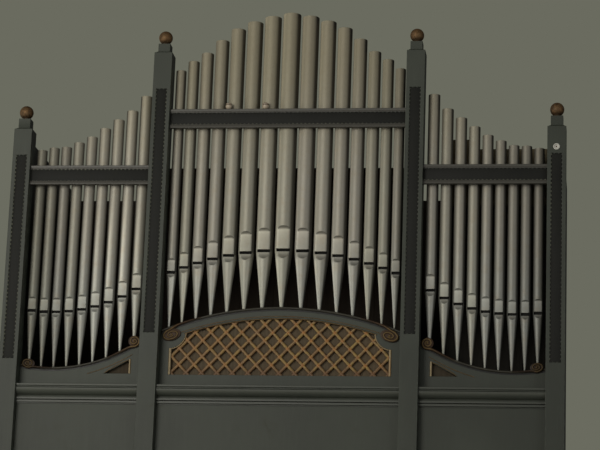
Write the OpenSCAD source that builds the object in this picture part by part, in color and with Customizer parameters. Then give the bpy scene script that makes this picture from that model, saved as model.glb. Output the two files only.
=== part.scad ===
// Pipe organ: a painted case of three bays with thirty-three front pipes.
// Millimetres, +Z up. The origin is on the floor at the middle of the plan, and the front faces -Y.

/* [Bays] */
// Width and depth of each square front post
post_w = 100; // [90:1:110]
// Clear width of the centre bay between its posts
centre_w = 1292; // [1280:1:1320]
// Clear width of each wing bay between its posts
wing_w = 661; // [650:1:680]
// Depth of the case, front face to back face
case_d = 1240; // [1100:10:1300]

/* [Heights] */
// Underside of the waist moulding above the floor
waist_z = 1450; // [1300:10:1600]
// Height of the waist moulding
waist_h = 104; // [100:1:110]
// Shaft of the two middle posts above the waist moulding's underside
mid_post_h = 1955; // [1930:5:2000]
// Shaft of the two end posts above the waist moulding's underside
end_post_h = 1520; // [1500:5:1560]
// Underside of the centre rail above the waist moulding's underside
centre_rail_h = 1525; // [1500:1:1560]
// Underside of the wing rails above the waist moulding's underside
wing_rail_h = 1207; // [1180:1:1225]
// Height of each carved rail
rail_h = 108; // [100:1:116]
// Height of the skirting boards
skirting_h = 160; // [120:5:200]

/* [Boards] */
// Thickness of the case boards
board_t = 22; // [18:1:26]
// Setback of the lower panels behind the post fronts
panel_y = 46; // [42:1:52]
// Setback of the breast boards behind the post fronts
breast_y = 72; // [66:1:76]
// Thickness of the curved pipe shelves
shelf_t = 22; // [18:1:24]
// Depth of the curved pipe shelves
shelf_d = 125; // [115:1:140]

/* [Pipes] */
// Diameter of the largest centre pipe
centre_pipe_d = 98; // [94:1:100]
// Step in diameter from each centre pipe to the next one outward
centre_step = 6; // [5.5:0.1:6.5]
// Diameter of the wing pipe next to the end post
wing_pipe_d = 55; // [50:1:56]
// Step in diameter from each wing pipe to the next one inward
wing_step = 1.1; // [0.8:0.1:1.2]
// Setback of the pipe axes behind the post fronts
pipe_y = 92; // [91:1:96]
// Thickness of the pipe metal
pipe_t = 2; // [1.6:0.1:3]

/* [Lattice] */
// Spacing of the lattice crossings along a row
lattice_pitch = 83.4; // [80:0.2:90]
// Spacing of the lattice crossings up a column
lattice_rise = 88; // [80:0.5:94]
// Width of each lattice bar
lattice_bar = 20; // [14:1:22]
// Thickness of the lattice
lattice_t = 12; // [8:1:14]

/* [Hidden] */
$fn = 64;
fit = 0.3;                                // seat between neighbouring pieces
over = 20;                                // how far a cutting shape runs past what it cuts

// plan, with X measured from the middle of the case and Y from the plane of the post fronts
mid_x = (centre_w + post_w) / 2;          // axis of a middle post
end_x = mid_x + wing_w + post_w;          // axis of an end post
wing_x = (mid_x + end_x) / 2;             // middle of a wing bay
bay_in = centre_w / 2;                    // half the centre bay
wing_in = bay_in + post_w;                // inner limit of a wing bay
wing_out = wing_in + wing_w;              // outer limit of a wing bay
back_y = case_d - board_t;                // front of the back boards
eye_wire = 6;                             // the eyelet stands out in front of its post
mid_y = (case_d - eye_wire - fit) / 2;    // middle of the depth, eyelet included
inner_y = breast_y + board_t;             // back of the breast boards

// posts
neck_w = 66;                              // neck block above the shoulder
neck_end_h = 63;
neck_mid_h = 56;
shoulder_h = 8;                           // step between shaft and neck
ball_r = 38;
ball_lift = 3.5;                          // under the ball, bridged by its turned foot
ball_foot_r = 21;
ball_foot_h = ball_lift + ball_r - sqrt(ball_r * ball_r - ball_foot_r * ball_foot_r);
flute_w = 60;                             // sunk panel in each post front
flute_d = 7;
flute_drop = [150, 210];                  // top of an end or middle post to its panel's head
flute_end = [236, end_post_h - flute_drop[0]];    // lower and upper limit in the end posts
flute_mid = [382, mid_post_h - flute_drop[1]];    // the same in the middle posts

// shelves: arcs seen from the front, with their centres above or below the bay
arch_r = 1690;                            // top of the centre shelf, crown up
arch_top = 540;                           // its crown above the waist
arch_z = arch_top - arch_r;
sweep_r = 848;                            // top of a wing shelf, hollow up
sweep_low = 204;                          // its lowest point above the waist
sweep_z = sweep_low + sweep_r;
sweep_x = wing_out - 167;                 // where that lowest point lies
shelf_y = breast_y - 4;                   // front edges stand a little proud of the boards

// pipes
centre_n = 7;                             // pipes on each side of the middle one
wing_n = 9;
centre_edge = 10.5;                       // clearance between the last pipe and the post
wing_edge = 16;
foot_base = 289;                          // foot length of an endless small pipe
centre_last_d = centre_pipe_d - centre_n * centre_step;
wing_last_d = wing_pipe_d + (wing_n - 1) * wing_step;
centre_gap = (bay_in - centre_edge - centre_last_d / 2 - centre_n * centre_pipe_d
    + centre_step * centre_n * centre_n / 2) / centre_n;
wing_gap = (wing_w - 2 * wing_edge - (wing_pipe_d + wing_last_d) / 2 - (wing_n - 1) * wing_pipe_d
    - wing_step * (wing_n - 1) * (wing_n - 1) / 2) / (wing_n - 1);
// pipe tops above the waist, from the middle outward and from the end post inward
centre_tops = [2192, 2175, 2146, 2107, 2042, 1970, 1924, 1872];
wing_tops = [1417, 1430, 1434, 1460, 1492, 1540, 1590, 1641, 1723];

function centre_d(i) = centre_pipe_d - i * centre_step;
function centre_x(i) = i * (centre_pipe_d + centre_gap) - centre_step * i * i / 2;
function wing_d(j) = wing_pipe_d + j * wing_step;
function wing_pipe_x(j) = wing_out - wing_edge - wing_pipe_d / 2
    - j * (wing_pipe_d + wing_gap) - wing_step * j * j / 2;
function wood_x(k) = wing_pipe_x(wing_n - 2.5 - k) - wood_shift;
function foot_h(d) = foot_base + d / 5;
function arch_at(x) = arch_z + sqrt(arch_r * arch_r - x * x);
function sweep_at(x) = sweep_z - sqrt(sweep_r * sweep_r - (x - sweep_x) * (x - sweep_x));

// carved rails
rail_y = 20;                              // front of the fillets
rail_t = 21;
fillet_h = 21;
rail_sunk = 9;
knob_x = [-centre_w / 4, -centre_w * 0.093];      // two turned knobs stand on the centre rail
knob_y = rail_y + 8;
knob_h = 36;
knob_bowl = [18, 19.5];                   // radius and height of the bowl
knob_neck_r = 15;                         // groove between the bowl and the cap
knob_cap = [17, 22.5];                    // radius of the cap and height of its lower edge
knob_dome_r = 24;

// breast boards
border = 61;                              // shelf top to the curved edge of an opening
lattice_side = 49;                        // post to the upright edge of the lattice opening
lattice_low = 168;                        // lower edge of the opening above the waist
lattice_row = 269;                        // height of one row of crossings above the waist
scroll_eye = [bay_in - 61, 383];          // middle of a centre scroll, X and height
scroll_size = [54, 33];                   // its half length and half height
scroll_turn = 18;                         // its tilt
inner_eye = [wing_in + 40, 346];          // middle of the volute at a wing shelf's high end
inner_r = 32;
outer_eye = [wing_out - 47, 222];         // middle of the rosette at its low end
outer_size = [38, 26];
ear_at = [bay_in - 46, 400];              // hollows that the opening leaves round the scrolls
ear_r = 90;
spandrel_in = 54;                         // post to the upright edge of a spandrel
spandrel_low = 171;
spandrel_size = [145, 79];                // length of its lower edge, height of its upright edge
recess_over = 40;                         // how far the dark boards pass the spandrel's tip
trim_w = 12;                              // gilt border of the openings
trim_back = 5;                            // its setback behind the breast boards
scroll_t = 16;
scroll_y = shelf_y - scroll_t - fit;      // the scrolls stand in front of the shelves

// wood pipes behind the right wing
wood_n = 8;
wood_w = 52;
wood_y = 250;
wood_shift = 10;                          // from the middle of each gap between the front pipes
wood_tall = end_post_h;                   // two tall ones stand level with the posts
wood_short = end_post_h - 54;
wood_solid = 300;                         // height to which they aren't hollowed
deck_z = 60;                              // underside of the deck above the waist's underside
wall_top = end_post_h - 9;                // top of the side walls above the waist
back_top = wall_top - 70;
screen_y = 400;
screen_half = mid_x + 14;
screen_top = end_post_h - 115;

module at_waist() { translate([0, -mid_y, waist_z]) children(); }
module at_floor() { translate([0, -mid_y, 0]) children(); }
// an outline drawn in X and Z, given thickness t backward from y
module face(y, t) { translate([0, y + t, 0]) rotate([90, 0, 0]) linear_extrude(t) children(); }
// an outline drawn in Y and Z, run along X from x0 to x1
module run(x0, x1) { translate([x0, 0, 0]) rotate([90, 0, 90]) linear_extrude(x1 - x0) children(); }
module block(a, b) { translate(a) cube(b - a); }
module pair() { children(); mirror([1, 0, 0]) children(); }

// ---------- posts ----------

// four-sided taper from a square of side a to one of side b
module taper(a, b, h) {
    intersection() {
        rotate([90, 0, 0]) linear_extrude(a + 2, center = true)
            polygon([[-a / 2, 0], [a / 2, 0], [b / 2, h], [-b / 2, h]]);
        rotate([90, 0, 90]) linear_extrude(a + 2, center = true)
            polygon([[-a / 2, 0], [a / 2, 0], [b / 2, h], [-b / 2, h]]);
    }
}

module post(x, top, flute, neck_h) {
    color("slategray") at_waist() translate([x, post_w / 2, 0]) {
        difference() {
            block([-post_w / 2, -post_w / 2, -waist_z], [post_w / 2, post_w / 2, top]);
            block([-flute_w / 2, -post_w / 2 - over, flute[0]],
                [flute_w / 2, -post_w / 2 + flute_d, flute[1]]);
        }
        translate([0, 0, top]) taper(post_w - 8, neck_w + 8, shoulder_h);
        block([-neck_w / 2, -neck_w / 2, top], [neck_w / 2, neck_w / 2, top + neck_h]);
    }
}

module finial(x, top) {
    at_waist() translate([x, post_w / 2, top + fit]) {
        translate([0, 0, ball_lift + ball_r]) sphere(ball_r);
        cylinder(h = ball_foot_h, r = ball_foot_r);
    }
}

module finials() {
    color("peru") pair() {
        finial(mid_x, mid_post_h + neck_mid_h);
        finial(end_x, end_post_h + neck_end_h);
    }
}

// ---------- lower case ----------

module skirting(x0, x1) {
    color("slategray") at_floor() run(x0 + fit, x1 - fit) polygon([
        [panel_y - 12, 0], [panel_y + board_t, 0], [panel_y + board_t, skirting_h],
        [panel_y, skirting_h], [panel_y - 12, skirting_h - 20]]);
}

module lower_panel(x0, x1) {
    color("slategray") at_floor() block([x0 + fit, panel_y, skirting_h + fit],
        [x1 - fit, panel_y + board_t, waist_z - fit]);
}

// waist moulding: a ledge with a fillet and a bead over an ovolo and two small fillets
module waist_profile() {
    translate([14, waist_h - 13]) square([inner_y - 14, 13]);
    translate([17, waist_h - 17]) square([30, 5]);
    translate([12.5 + 2.5, waist_h - 16.5]) circle(2.5);
    intersection() {
        translate([52, waist_h - 22]) circle(39);
        translate([12, waist_h - 62]) square([40, 46]);
    }
    translate([40, 0]) square([inner_y - 40, waist_h]);
    translate([30, 22]) square([20, 9]);
    translate([34, 6]) square([20, 11]);
}

module waist(x0, x1) { color("slategray") at_waist() run(x0 + fit, x1 - fit) waist_profile(); }

// ---------- breast boards ----------

module lattice_opening(grow) {
    difference() {
        intersection() {
            translate([0, arch_z]) circle(arch_r - border + grow, $fn = 256);
            translate([-bay_in + lattice_side - grow, lattice_low - grow])
                square([2 * (bay_in - lattice_side + grow), arch_r]);
        }
        for (s = [-1, 1]) translate([s * ear_at[0], ear_at[1]]) circle(ear_r - grow);
    }
}

module breast_centre() {
    color("slategray") at_waist() face(breast_y, board_t) difference() {
        intersection() {
            translate([0, arch_z]) circle(arch_r - shelf_t - fit, $fn = 256);
            translate([-bay_in + fit, waist_h + fit]) square([centre_w - 2 * fit, arch_r]);
        }
        lattice_opening(0);
    }
}

// right-angled triangle, its three edges moved outward by grow
module spandrel_opening(grow) {
    a = spandrel_size[0];
    b = spandrel_size[1];
    slant = sqrt(a * a + b * b);
    translate([wing_in + spandrel_in, spandrel_low]) polygon([
        [-grow, -grow], [a + grow * (slant + a) / b, -grow], [-grow, b + grow * (slant + b) / a]]);
}

module breast_wing() {
    color("slategray") at_waist() face(breast_y, board_t) difference() {
        translate([wing_in + fit, waist_h + fit]) square([wing_w - 2 * fit, sweep_z]);
        translate([sweep_x, sweep_z]) circle(sweep_r + shelf_t + fit, $fn = 256);
        spandrel_opening(0);
    }
}

module recess_back_centre() {
    color("dimgray") at_waist() face(inner_y + fit, 8) intersection() {
        translate([0, arch_z]) circle(arch_r - shelf_t - 10, $fn = 256);
        translate([-bay_in + 10, waist_h + 10]) square([centre_w - 20, arch_r]);
    }
}

module recess_back_wing() {
    color("dimgray") at_waist() face(inner_y + fit, 8) difference() {
        translate([wing_in + 10, waist_h + 10])
            square([spandrel_in + spandrel_size[0] + recess_over, sweep_z]);
        translate([sweep_x, sweep_z]) circle(sweep_r + shelf_t + 8, $fn = 256);
    }
}

module lattice() {
    lean = atan(lattice_rise / lattice_pitch);
    color("goldenrod") at_waist() face(breast_y + trim_back, lattice_t) {
        intersection() {
            lattice_opening(-fit);
            for (s = [-1, 1], k = [-10 : 10])
                translate([k * lattice_pitch, lattice_row]) rotate(s * lean)
                    square([2 * centre_w, lattice_bar], center = true);
        }
        difference() { lattice_opening(-fit); lattice_opening(-trim_w); }
    }
}

module spandrel_trim() {
    color("goldenrod") at_waist() pair() face(breast_y + trim_back, board_t - trim_back - 1)
        difference() {
            spandrel_opening(-fit);
            for (drop = [0, trim_w]) translate([0, -drop]) spandrel_opening(-trim_w);
        }
}

// ---------- shelves and scrolls ----------

module shelf_centre() {
    color("slategray") at_waist() face(shelf_y, shelf_d) intersection() {
        difference() {
            translate([0, arch_z]) circle(arch_r, $fn = 256);
            translate([0, arch_z]) circle(arch_r - shelf_t, $fn = 256);
        }
        translate([-bay_in + fit, 0]) square([centre_w - 2 * fit, arch_r]);
    }
}

module shelf_wing() {
    color("slategray") at_waist() face(shelf_y, shelf_d) intersection() {
        difference() {
            translate([sweep_x, sweep_z]) circle(sweep_r + shelf_t, $fn = 256);
            translate([sweep_x, sweep_z]) circle(sweep_r, $fn = 256);
        }
        translate([wing_in + fit, 0]) square([wing_w - 2 * fit, sweep_r]);
    }
}

// volute of half rings, each drawn in by one step, round a solid eye
module volute(r, band, step) {
    n = floor((r - band) / step);
    for (k = [0 : n - 1]) {
        rk = r - k * step;
        translate([k % 2 == 0 ? 0 : step, 0]) intersection() {
            difference() { circle(rk); circle(rk - band); }
            translate([-r, k % 2 == 0 ? 0 : -r]) square([2 * r, r]);
        }
    }
    translate([step / 2, 0]) circle(r - n * step);
}

// oval of half length size[0] and half height size[1]: two wide arcs, tips rounded by a circle
module oval(size) {
    wide_r = (1.3 * size[0] * size[0] + size[1] * size[1]) / (2 * size[1]);
    intersection() {
        circle(size[0]);
        translate([0, wide_r - size[1]]) circle(wide_r, $fn = 128);
        translate([0, size[1] - wide_r]) circle(wide_r, $fn = 128);
    }
}

// band round an oval eye, sunk between the two to half the depth
module rosette(at, turn, size) {
    difference() {
        face(scroll_y, scroll_t) translate(at) rotate(turn) oval(size);
        face(scroll_y - over, over + scroll_t / 2) translate(at) rotate(turn) difference() {
            oval(0.85 * size - [0, 2]);
            oval(0.72 * size - [0, 5]);
        }
    }
}

module scrolls_centre() {
    color("darkgoldenrod") at_waist() pair() rosette(scroll_eye, -scroll_turn, scroll_size);
}

module scrolls_wing() {
    color("darkgoldenrod") at_waist() {
        face(scroll_y, scroll_t) translate(inner_eye) rotate(90)
            volute(inner_r, inner_r / 4, inner_r / 5);
        rosette(outer_eye, 0, outer_size);
    }
}

// ---------- pipes ----------

// what the flattened lips take off the front of a pipe, the mouth's middle at height 0
module lip_cut(d, inset) {
    r = d / 2;
    rotate([90, 0, 90]) translate([inset, 0]) linear_extrude(d + 2, center = true) polygon([
        [-1.3 * r, 1.43 * d], [-r, 1.37 * d], [-0.9 * r, 1.33 * d], [-0.79 * r, 1.27 * d],
        [-0.7 * r, 1.17 * d], [-0.7 * r, -0.06 * d], [-0.73 * r, -0.22 * d],
        [-0.83 * r, -0.31 * d], [-0.92 * r, -0.37 * d], [-1.3 * r, -0.5 * d]]);
}

module pipe(d, body) {
    r = d / 2;
    foot = foot_h(d);
    toe_r = d / 8 - 2;
    mouth = 0.12 * d;
    difference() {
        union() {
            translate([0, 0, -over]) cylinder(h = foot + over, r1 = toe_r, r2 = r);
            translate([0, 0, foot]) cylinder(h = body, r = r);
        }
        translate([0, 0, foot]) lip_cut(d, 0);
        difference() {
            translate([0, 0, foot - mouth / 2]) cylinder(h = body + mouth, r = r - pipe_t);
            translate([0, 0, foot]) lip_cut(d, pipe_t);
        }
        translate([-0.69 * r, -1.2 * r, foot - mouth / 2]) cube([1.38 * r, r, mouth]);
    }
}

module pipes_centre() {
    color("tan") at_waist() difference() {
        for (i = [-centre_n : centre_n]) {
            d = centre_d(abs(i));
            z = arch_at(centre_x(abs(i)));
            translate([sign(i) * centre_x(abs(i)), pipe_y, z])
                pipe(d, centre_tops[abs(i)] - z - foot_h(d));
        }
        face(0, 2 * pipe_y) translate([0, arch_z]) circle(arch_r + fit, $fn = 256);
    }
}

module pipes_wing() {
    color("tan") at_waist() difference() {
        for (j = [0 : wing_n - 1]) {
            d = wing_d(j);
            z = sweep_at(wing_pipe_x(j));
            translate([wing_pipe_x(j), pipe_y, z])
                pipe(d, wing_tops[j] - z - foot_h(d));
        }
        face(0, 2 * pipe_y) difference() {
            translate([wing_in, 0]) square([wing_w, sweep_r]);
            translate([sweep_x, sweep_z]) circle(sweep_r - fit, $fn = 256);
        }
    }
}

module wood_pipes() {
    color("saddlebrown") at_waist() for (k = [0 : wood_n - 1]) {
        x = wood_x(k);
        difference() {
            block([x - wood_w / 2, wood_y, deck_z + board_t + fit],
                [x + wood_w / 2, wood_y + wood_w, k < 2 ? wood_tall : wood_short]);
            block([x - wood_w / 2 + 7, wood_y + 7, deck_z + wood_solid],
                [x + wood_w / 2 - 7, wood_y + wood_w - 7, wood_tall + over]);
        }
    }
}

// ---------- carved rails ----------

module rail(x0, x1, z) {
    color("slategray") at_waist() run(x0 + fit, x1 - fit) difference() {
        translate([rail_y, z]) square([rail_t, rail_h]);
        translate([rail_y - over, z + fillet_h])
            square([over + rail_sunk, rail_h - 2 * fillet_h]);
    }
}

// turned knobs: a bowl, a groove and a domed cap
module rail_knobs() {
    color("rosybrown") at_waist() for (x = knob_x)
        translate([x, knob_y, centre_rail_h + rail_h + fit]) {
            intersection() {
                translate([0, 0, knob_bowl[1] - 4]) sphere(knob_bowl[0]);
                cylinder(h = knob_bowl[1], r = knob_bowl[0] + 1);
            }
            translate([0, 0, knob_bowl[1] - 6])
                cylinder(h = knob_cap[1] - knob_bowl[1] + 7, r = knob_neck_r);
            intersection() {
                translate([0, 0, knob_h - knob_dome_r]) sphere(knob_dome_r);
                translate([0, 0, knob_cap[1]]) cylinder(h = knob_h, r = knob_cap[0]);
            }
        }
}

module eyelet() {
    color("whitesmoke") at_waist() translate([end_x - 1, -eye_wire / 2 - fit, flute_end[1] + 34])
        rotate([90, 0, 0]) rotate_extrude() translate([15, 0]) circle(eye_wire / 2);
}

// ---------- sides, back and deck ----------

module side() {
    color("slategray") at_floor() block([end_x + post_w / 2 - 20 - board_t, post_w + fit, 0],
        [end_x + post_w / 2 - 20, back_y - fit, waist_z + wall_top]);
}

module back_lower() {
    color("dimgray") at_floor() block([-end_x - post_w / 2 + 20, back_y, 0],
        [end_x + post_w / 2 - 20, case_d, waist_z + deck_z]);
}

module back_upper() {
    color("dimgray") at_waist() {
        face(back_y, board_t) translate([-end_x - post_w / 2 + 20, deck_z + fit])
            square([2 * end_x + post_w - 40, back_top - deck_z - fit]);
        // the dark screen behind the middle pipes stands on the deck
        face(screen_y, board_t) translate([-screen_half, deck_z + board_t + fit])
            square([2 * screen_half, screen_top - deck_z - board_t - fit]);
    }
}

module deck() {
    color("dimgray") at_waist() block([-end_x - post_w / 2 + 20 + board_t + fit, post_w + fit, deck_z],
        [end_x + post_w / 2 - 20 - board_t - fit, back_y - fit, deck_z + board_t]);
}

post(-end_x, end_post_h, flute_end, neck_end_h);  // post_left_end
post(-mid_x, mid_post_h, flute_mid, neck_mid_h);  // post_left_middle
post(mid_x, mid_post_h, flute_mid, neck_mid_h);  // post_right_middle
post(end_x, end_post_h, flute_end, neck_end_h);  // post_right_end
finials();
skirting(-wing_out, -wing_in);  // skirting_left
skirting(-bay_in, bay_in);  // skirting_centre
skirting(wing_in, wing_out);  // skirting_right
lower_panel(-wing_out, -wing_in);  // lower_panel_left
lower_panel(-bay_in, bay_in);  // lower_panel_centre
lower_panel(wing_in, wing_out);  // lower_panel_right
waist(-wing_out, -wing_in);  // waist_left
waist(-bay_in, bay_in);  // waist_centre
waist(wing_in, wing_out);  // waist_right
mirror([1, 0, 0]) breast_wing();  // breast_left
breast_centre();
breast_wing();  // breast_right
mirror([1, 0, 0]) recess_back_wing();  // recess_back_left
recess_back_centre();
recess_back_wing();  // recess_back_right
lattice();
spandrel_trim();
mirror([1, 0, 0]) shelf_wing();  // shelf_left
shelf_centre();
shelf_wing();  // shelf_right
mirror([1, 0, 0]) scrolls_wing();  // scrolls_left
scrolls_centre();
scrolls_wing();  // scrolls_right
mirror([1, 0, 0]) pipes_wing();  // pipes_left
pipes_centre();
pipes_wing();  // pipes_right
rail(-wing_out, -wing_in, wing_rail_h);  // rail_left
rail(-bay_in, bay_in, centre_rail_h);  // rail_centre
rail(wing_in, wing_out, wing_rail_h);  // rail_right
rail_knobs();
eyelet();
mirror([1, 0, 0]) side();  // side_left
side();  // side_right
back_lower();
back_upper();
deck();
wood_pipes();
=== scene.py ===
"""Pipe organ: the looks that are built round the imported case, in its own frame and in metres."""
import math

import bmesh
import bpy
import numpy as np
from mathutils import Matrix, Vector


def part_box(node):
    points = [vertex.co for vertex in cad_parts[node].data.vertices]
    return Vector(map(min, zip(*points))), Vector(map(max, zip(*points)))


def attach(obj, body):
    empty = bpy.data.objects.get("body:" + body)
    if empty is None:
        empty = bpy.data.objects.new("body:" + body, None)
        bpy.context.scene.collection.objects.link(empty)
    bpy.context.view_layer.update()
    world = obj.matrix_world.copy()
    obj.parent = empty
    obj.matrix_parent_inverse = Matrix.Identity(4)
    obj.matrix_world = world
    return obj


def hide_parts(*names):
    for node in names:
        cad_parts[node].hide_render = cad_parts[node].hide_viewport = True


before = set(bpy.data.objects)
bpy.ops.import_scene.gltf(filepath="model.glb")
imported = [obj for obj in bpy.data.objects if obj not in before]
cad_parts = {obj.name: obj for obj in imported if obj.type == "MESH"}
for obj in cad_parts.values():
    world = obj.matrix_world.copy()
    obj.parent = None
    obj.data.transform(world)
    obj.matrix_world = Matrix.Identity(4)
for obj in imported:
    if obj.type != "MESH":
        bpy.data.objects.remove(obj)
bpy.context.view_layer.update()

bl_info = {
    "name": "Pipe organ",
    "version": (1, 0, 0),
    "blender": (4, 5, 0),
    "location": "View3D > Sidebar > Organ",
    "description": "Builds the finished pieces of a three-bay pipe organ round its plain case",
    "category": "Add Mesh",
}

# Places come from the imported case: X from its middle, Y back from the post fronts, Z up from the
# underside of the waist moulding. Shelf noses stand NOSE_PROUD of the boards. Built pieces keep SEAT
# clear of the case. The SOFT widths are those of rounded arrises.
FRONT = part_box("post_left_end")[0].y
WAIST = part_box("waist_centre")[0].z
BAY_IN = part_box("post_right_middle")[0].x
WING_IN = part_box("post_right_middle")[1].x
WING_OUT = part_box("post_right_end")[0].x
MID_X = (BAY_IN + WING_IN) / 2
END_X = (WING_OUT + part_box("post_right_end")[1].x) / 2
POST_Y = 0.05
NOSE_PROUD = 0.004
SEAT = 0.0003
SOFT_POST, SOFT_BOARD, SOFT_SIDE = 0.0016, 0.0012, 0.0020


def linear(red, green, blue):
    """Scene colour of a screen colour given in 0 to 255."""
    def one(c):
        c = c / 255
        return c / 12.92 if c <= 0.04045 else ((c + 0.055) / 1.055) ** 2.4
    return (one(red), one(green), one(blue))


# ---------- sizes and colours a user would change ----------

def length(name, text, default):
    return bpy.props.FloatProperty(name=name, description=text, default=default, min=0.0, max=5.0,
                                   unit="LENGTH", precision=4)


def colour(name, text, rgb):
    return bpy.props.FloatVectorProperty(name=name, description=text, default=linear(*rgb), min=0.0,
                                         max=1.0, size=3, subtype="COLOR")


class OrganSizes(bpy.types.PropertyGroup):
    """Sizes of the pieces that are built on the case."""
    tooth_pitch: length("Tooth pitch", "Spacing of the carved teeth along the posts", 0.0226)
    rail_tooth_pitch: length("Rail tooth pitch", "Spacing of the carved teeth along the rails", 0.0222)
    tooth_reach: length("Tooth reach", "How far a carved tooth stands into the sunk panel", 0.0065)
    sunk_depth: length("Sunk depth", "Depth of the sunk panels in the posts", 0.007)
    sunk_half: length("Half width", "Half the width of a post's sunk panel", 0.030)
    flute_end_low: length("End panel foot", "Lower end of an end post's sunk panel", 0.236)
    flute_end_top: length("End panel head", "Upper end of an end post's sunk panel", 1.370)
    flute_mid_low: length("Middle panel foot", "Lower end of a middle post's sunk panel", 0.382)
    flute_mid_top: length("Middle panel head", "Upper end of a middle post's sunk panel", 1.745)
    rail_setback: length("Rail setback", "Rail fronts behind the post fronts", 0.020)
    rail_height: length("Rail height", "Height of a carved rail", 0.108)
    rail_fillet: length("Rail fillet", "Height of a rail's upper and lower fillet", 0.021)
    arch_radius: length("Arch radius", "Radius of the centre shelf", 1.690)
    arch_crown: length("Arch crown", "Top of the centre shelf at its crown", 0.540)
    sweep_radius: length("Sweep radius", "Radius of a wing shelf", 0.848)
    sweep_low: length("Sweep low point", "Top of a wing shelf at its lowest point", 0.204)
    sweep_inset: length("Sweep inset", "Its lowest point inward from the end post", 0.167)
    shelf_depth: length("Shelf depth", "Front to back of a pipe shelf", 0.125)
    shelf_thick: length("Shelf thickness", "Thickness of a pipe shelf", 0.022)
    board_setback: length("Board setback", "Breast boards behind the post fronts", 0.072)
    pipe_setback: length("Pipe setback", "Pipe axes behind the post fronts", 0.092)
    centre_pipe: length("Largest pipe", "Diameter of the largest centre pipe", 0.098)
    centre_step: length("Centre step", "Step in diameter between centre pipes", 0.006)
    wing_pipe: length("Wing pipe", "Diameter of the wing pipe next to an end post", 0.055)
    wing_step: length("Wing step", "Step in diameter between wing pipes", 0.0011)
    foot_base: length("Foot base", "Foot length before a fifth of the diameter is added", 0.289)
    lattice_pitch: length("Lattice pitch", "Spacing of the crossings along a row", 0.0834)
    lattice_rise: length("Lattice rise", "Spacing of the crossings up a column", 0.088)
    lattice_bar: length("Lattice bar", "Width of a lattice bar", 0.0165)
    lattice_row: length("Lattice row", "Height of one row of crossings", 0.269)


class OrganColours(bpy.types.PropertyGroup):
    """Colours of the finishes."""
    paint: colour("Case paint", "Grey-green oil paint", (62, 66, 58))
    sunk: colour("Sunk paint", "Dark paint of the sunk panels", (25, 26, 22))
    metal: colour("Pipe metal", "Satin tin of the front pipes", (160, 156, 144))
    gold: colour("Lattice gold", "Dull gold paint of the lattice", (122, 99, 58))
    trim: colour("Trim gold", "Pale gold paint of the openings' edges", (146, 130, 98))
    amber: colour("Amber", "Orange-brown ground that shows at gilded edges", (96, 66, 40))
    bronze: colour("Bronze", "Bronzed beads of the scrolls", (86, 70, 42))
    carving: colour("Carving", "Brown ground of the scrolls", (58, 42, 28))
    copper: colour("Copper", "Old leaf of the ball finials", (102, 79, 51))
    recess: colour("Recess", "Boards behind the lattice", (92, 82, 66))
    boards: colour("Back boards", "Brown boards of back and deck", (76, 62, 47))
    wood: colour("Bare wood", "Unpainted pine of the inner pipes", (86, 79, 60))
    nose: colour("Shelf nose", "Olive-bronze paint of the shelf noses", (44, 41, 30))
    knob: colour("Knob", "Cream glaze of the two knobs", (178, 164, 142))
    eyelet: colour("Eyelet", "White glaze", (205, 203, 192))
    backdrop: colour("Backdrop", "Plain backdrop behind the organ", (106, 107, 95))


def sizes():
    return bpy.context.scene.organ_sizes


def tint(name):
    return tuple(getattr(bpy.context.scene.organ_colours, name))


# ---------- surfaces worked out as whole arrays ----------

BACK, UP = np.array([0.0, 1.0, 0.0]), np.array([0.0, 0.0, 1.0])
LAID_BACK = [0, 2, 1]  # order of coordinates that lays a form turned about Z along Y


def points(x, y, z):
    return np.stack(np.broadcast_arrays(x, y, z), axis=-1)


def at_case(places):
    """Points given from the post fronts and the waist, moved into the frame."""
    return places + np.array([0.0, FRONT, WAIST])


def round_about(count):
    return np.linspace(0, 2 * math.pi, count, endpoint=False)


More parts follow.
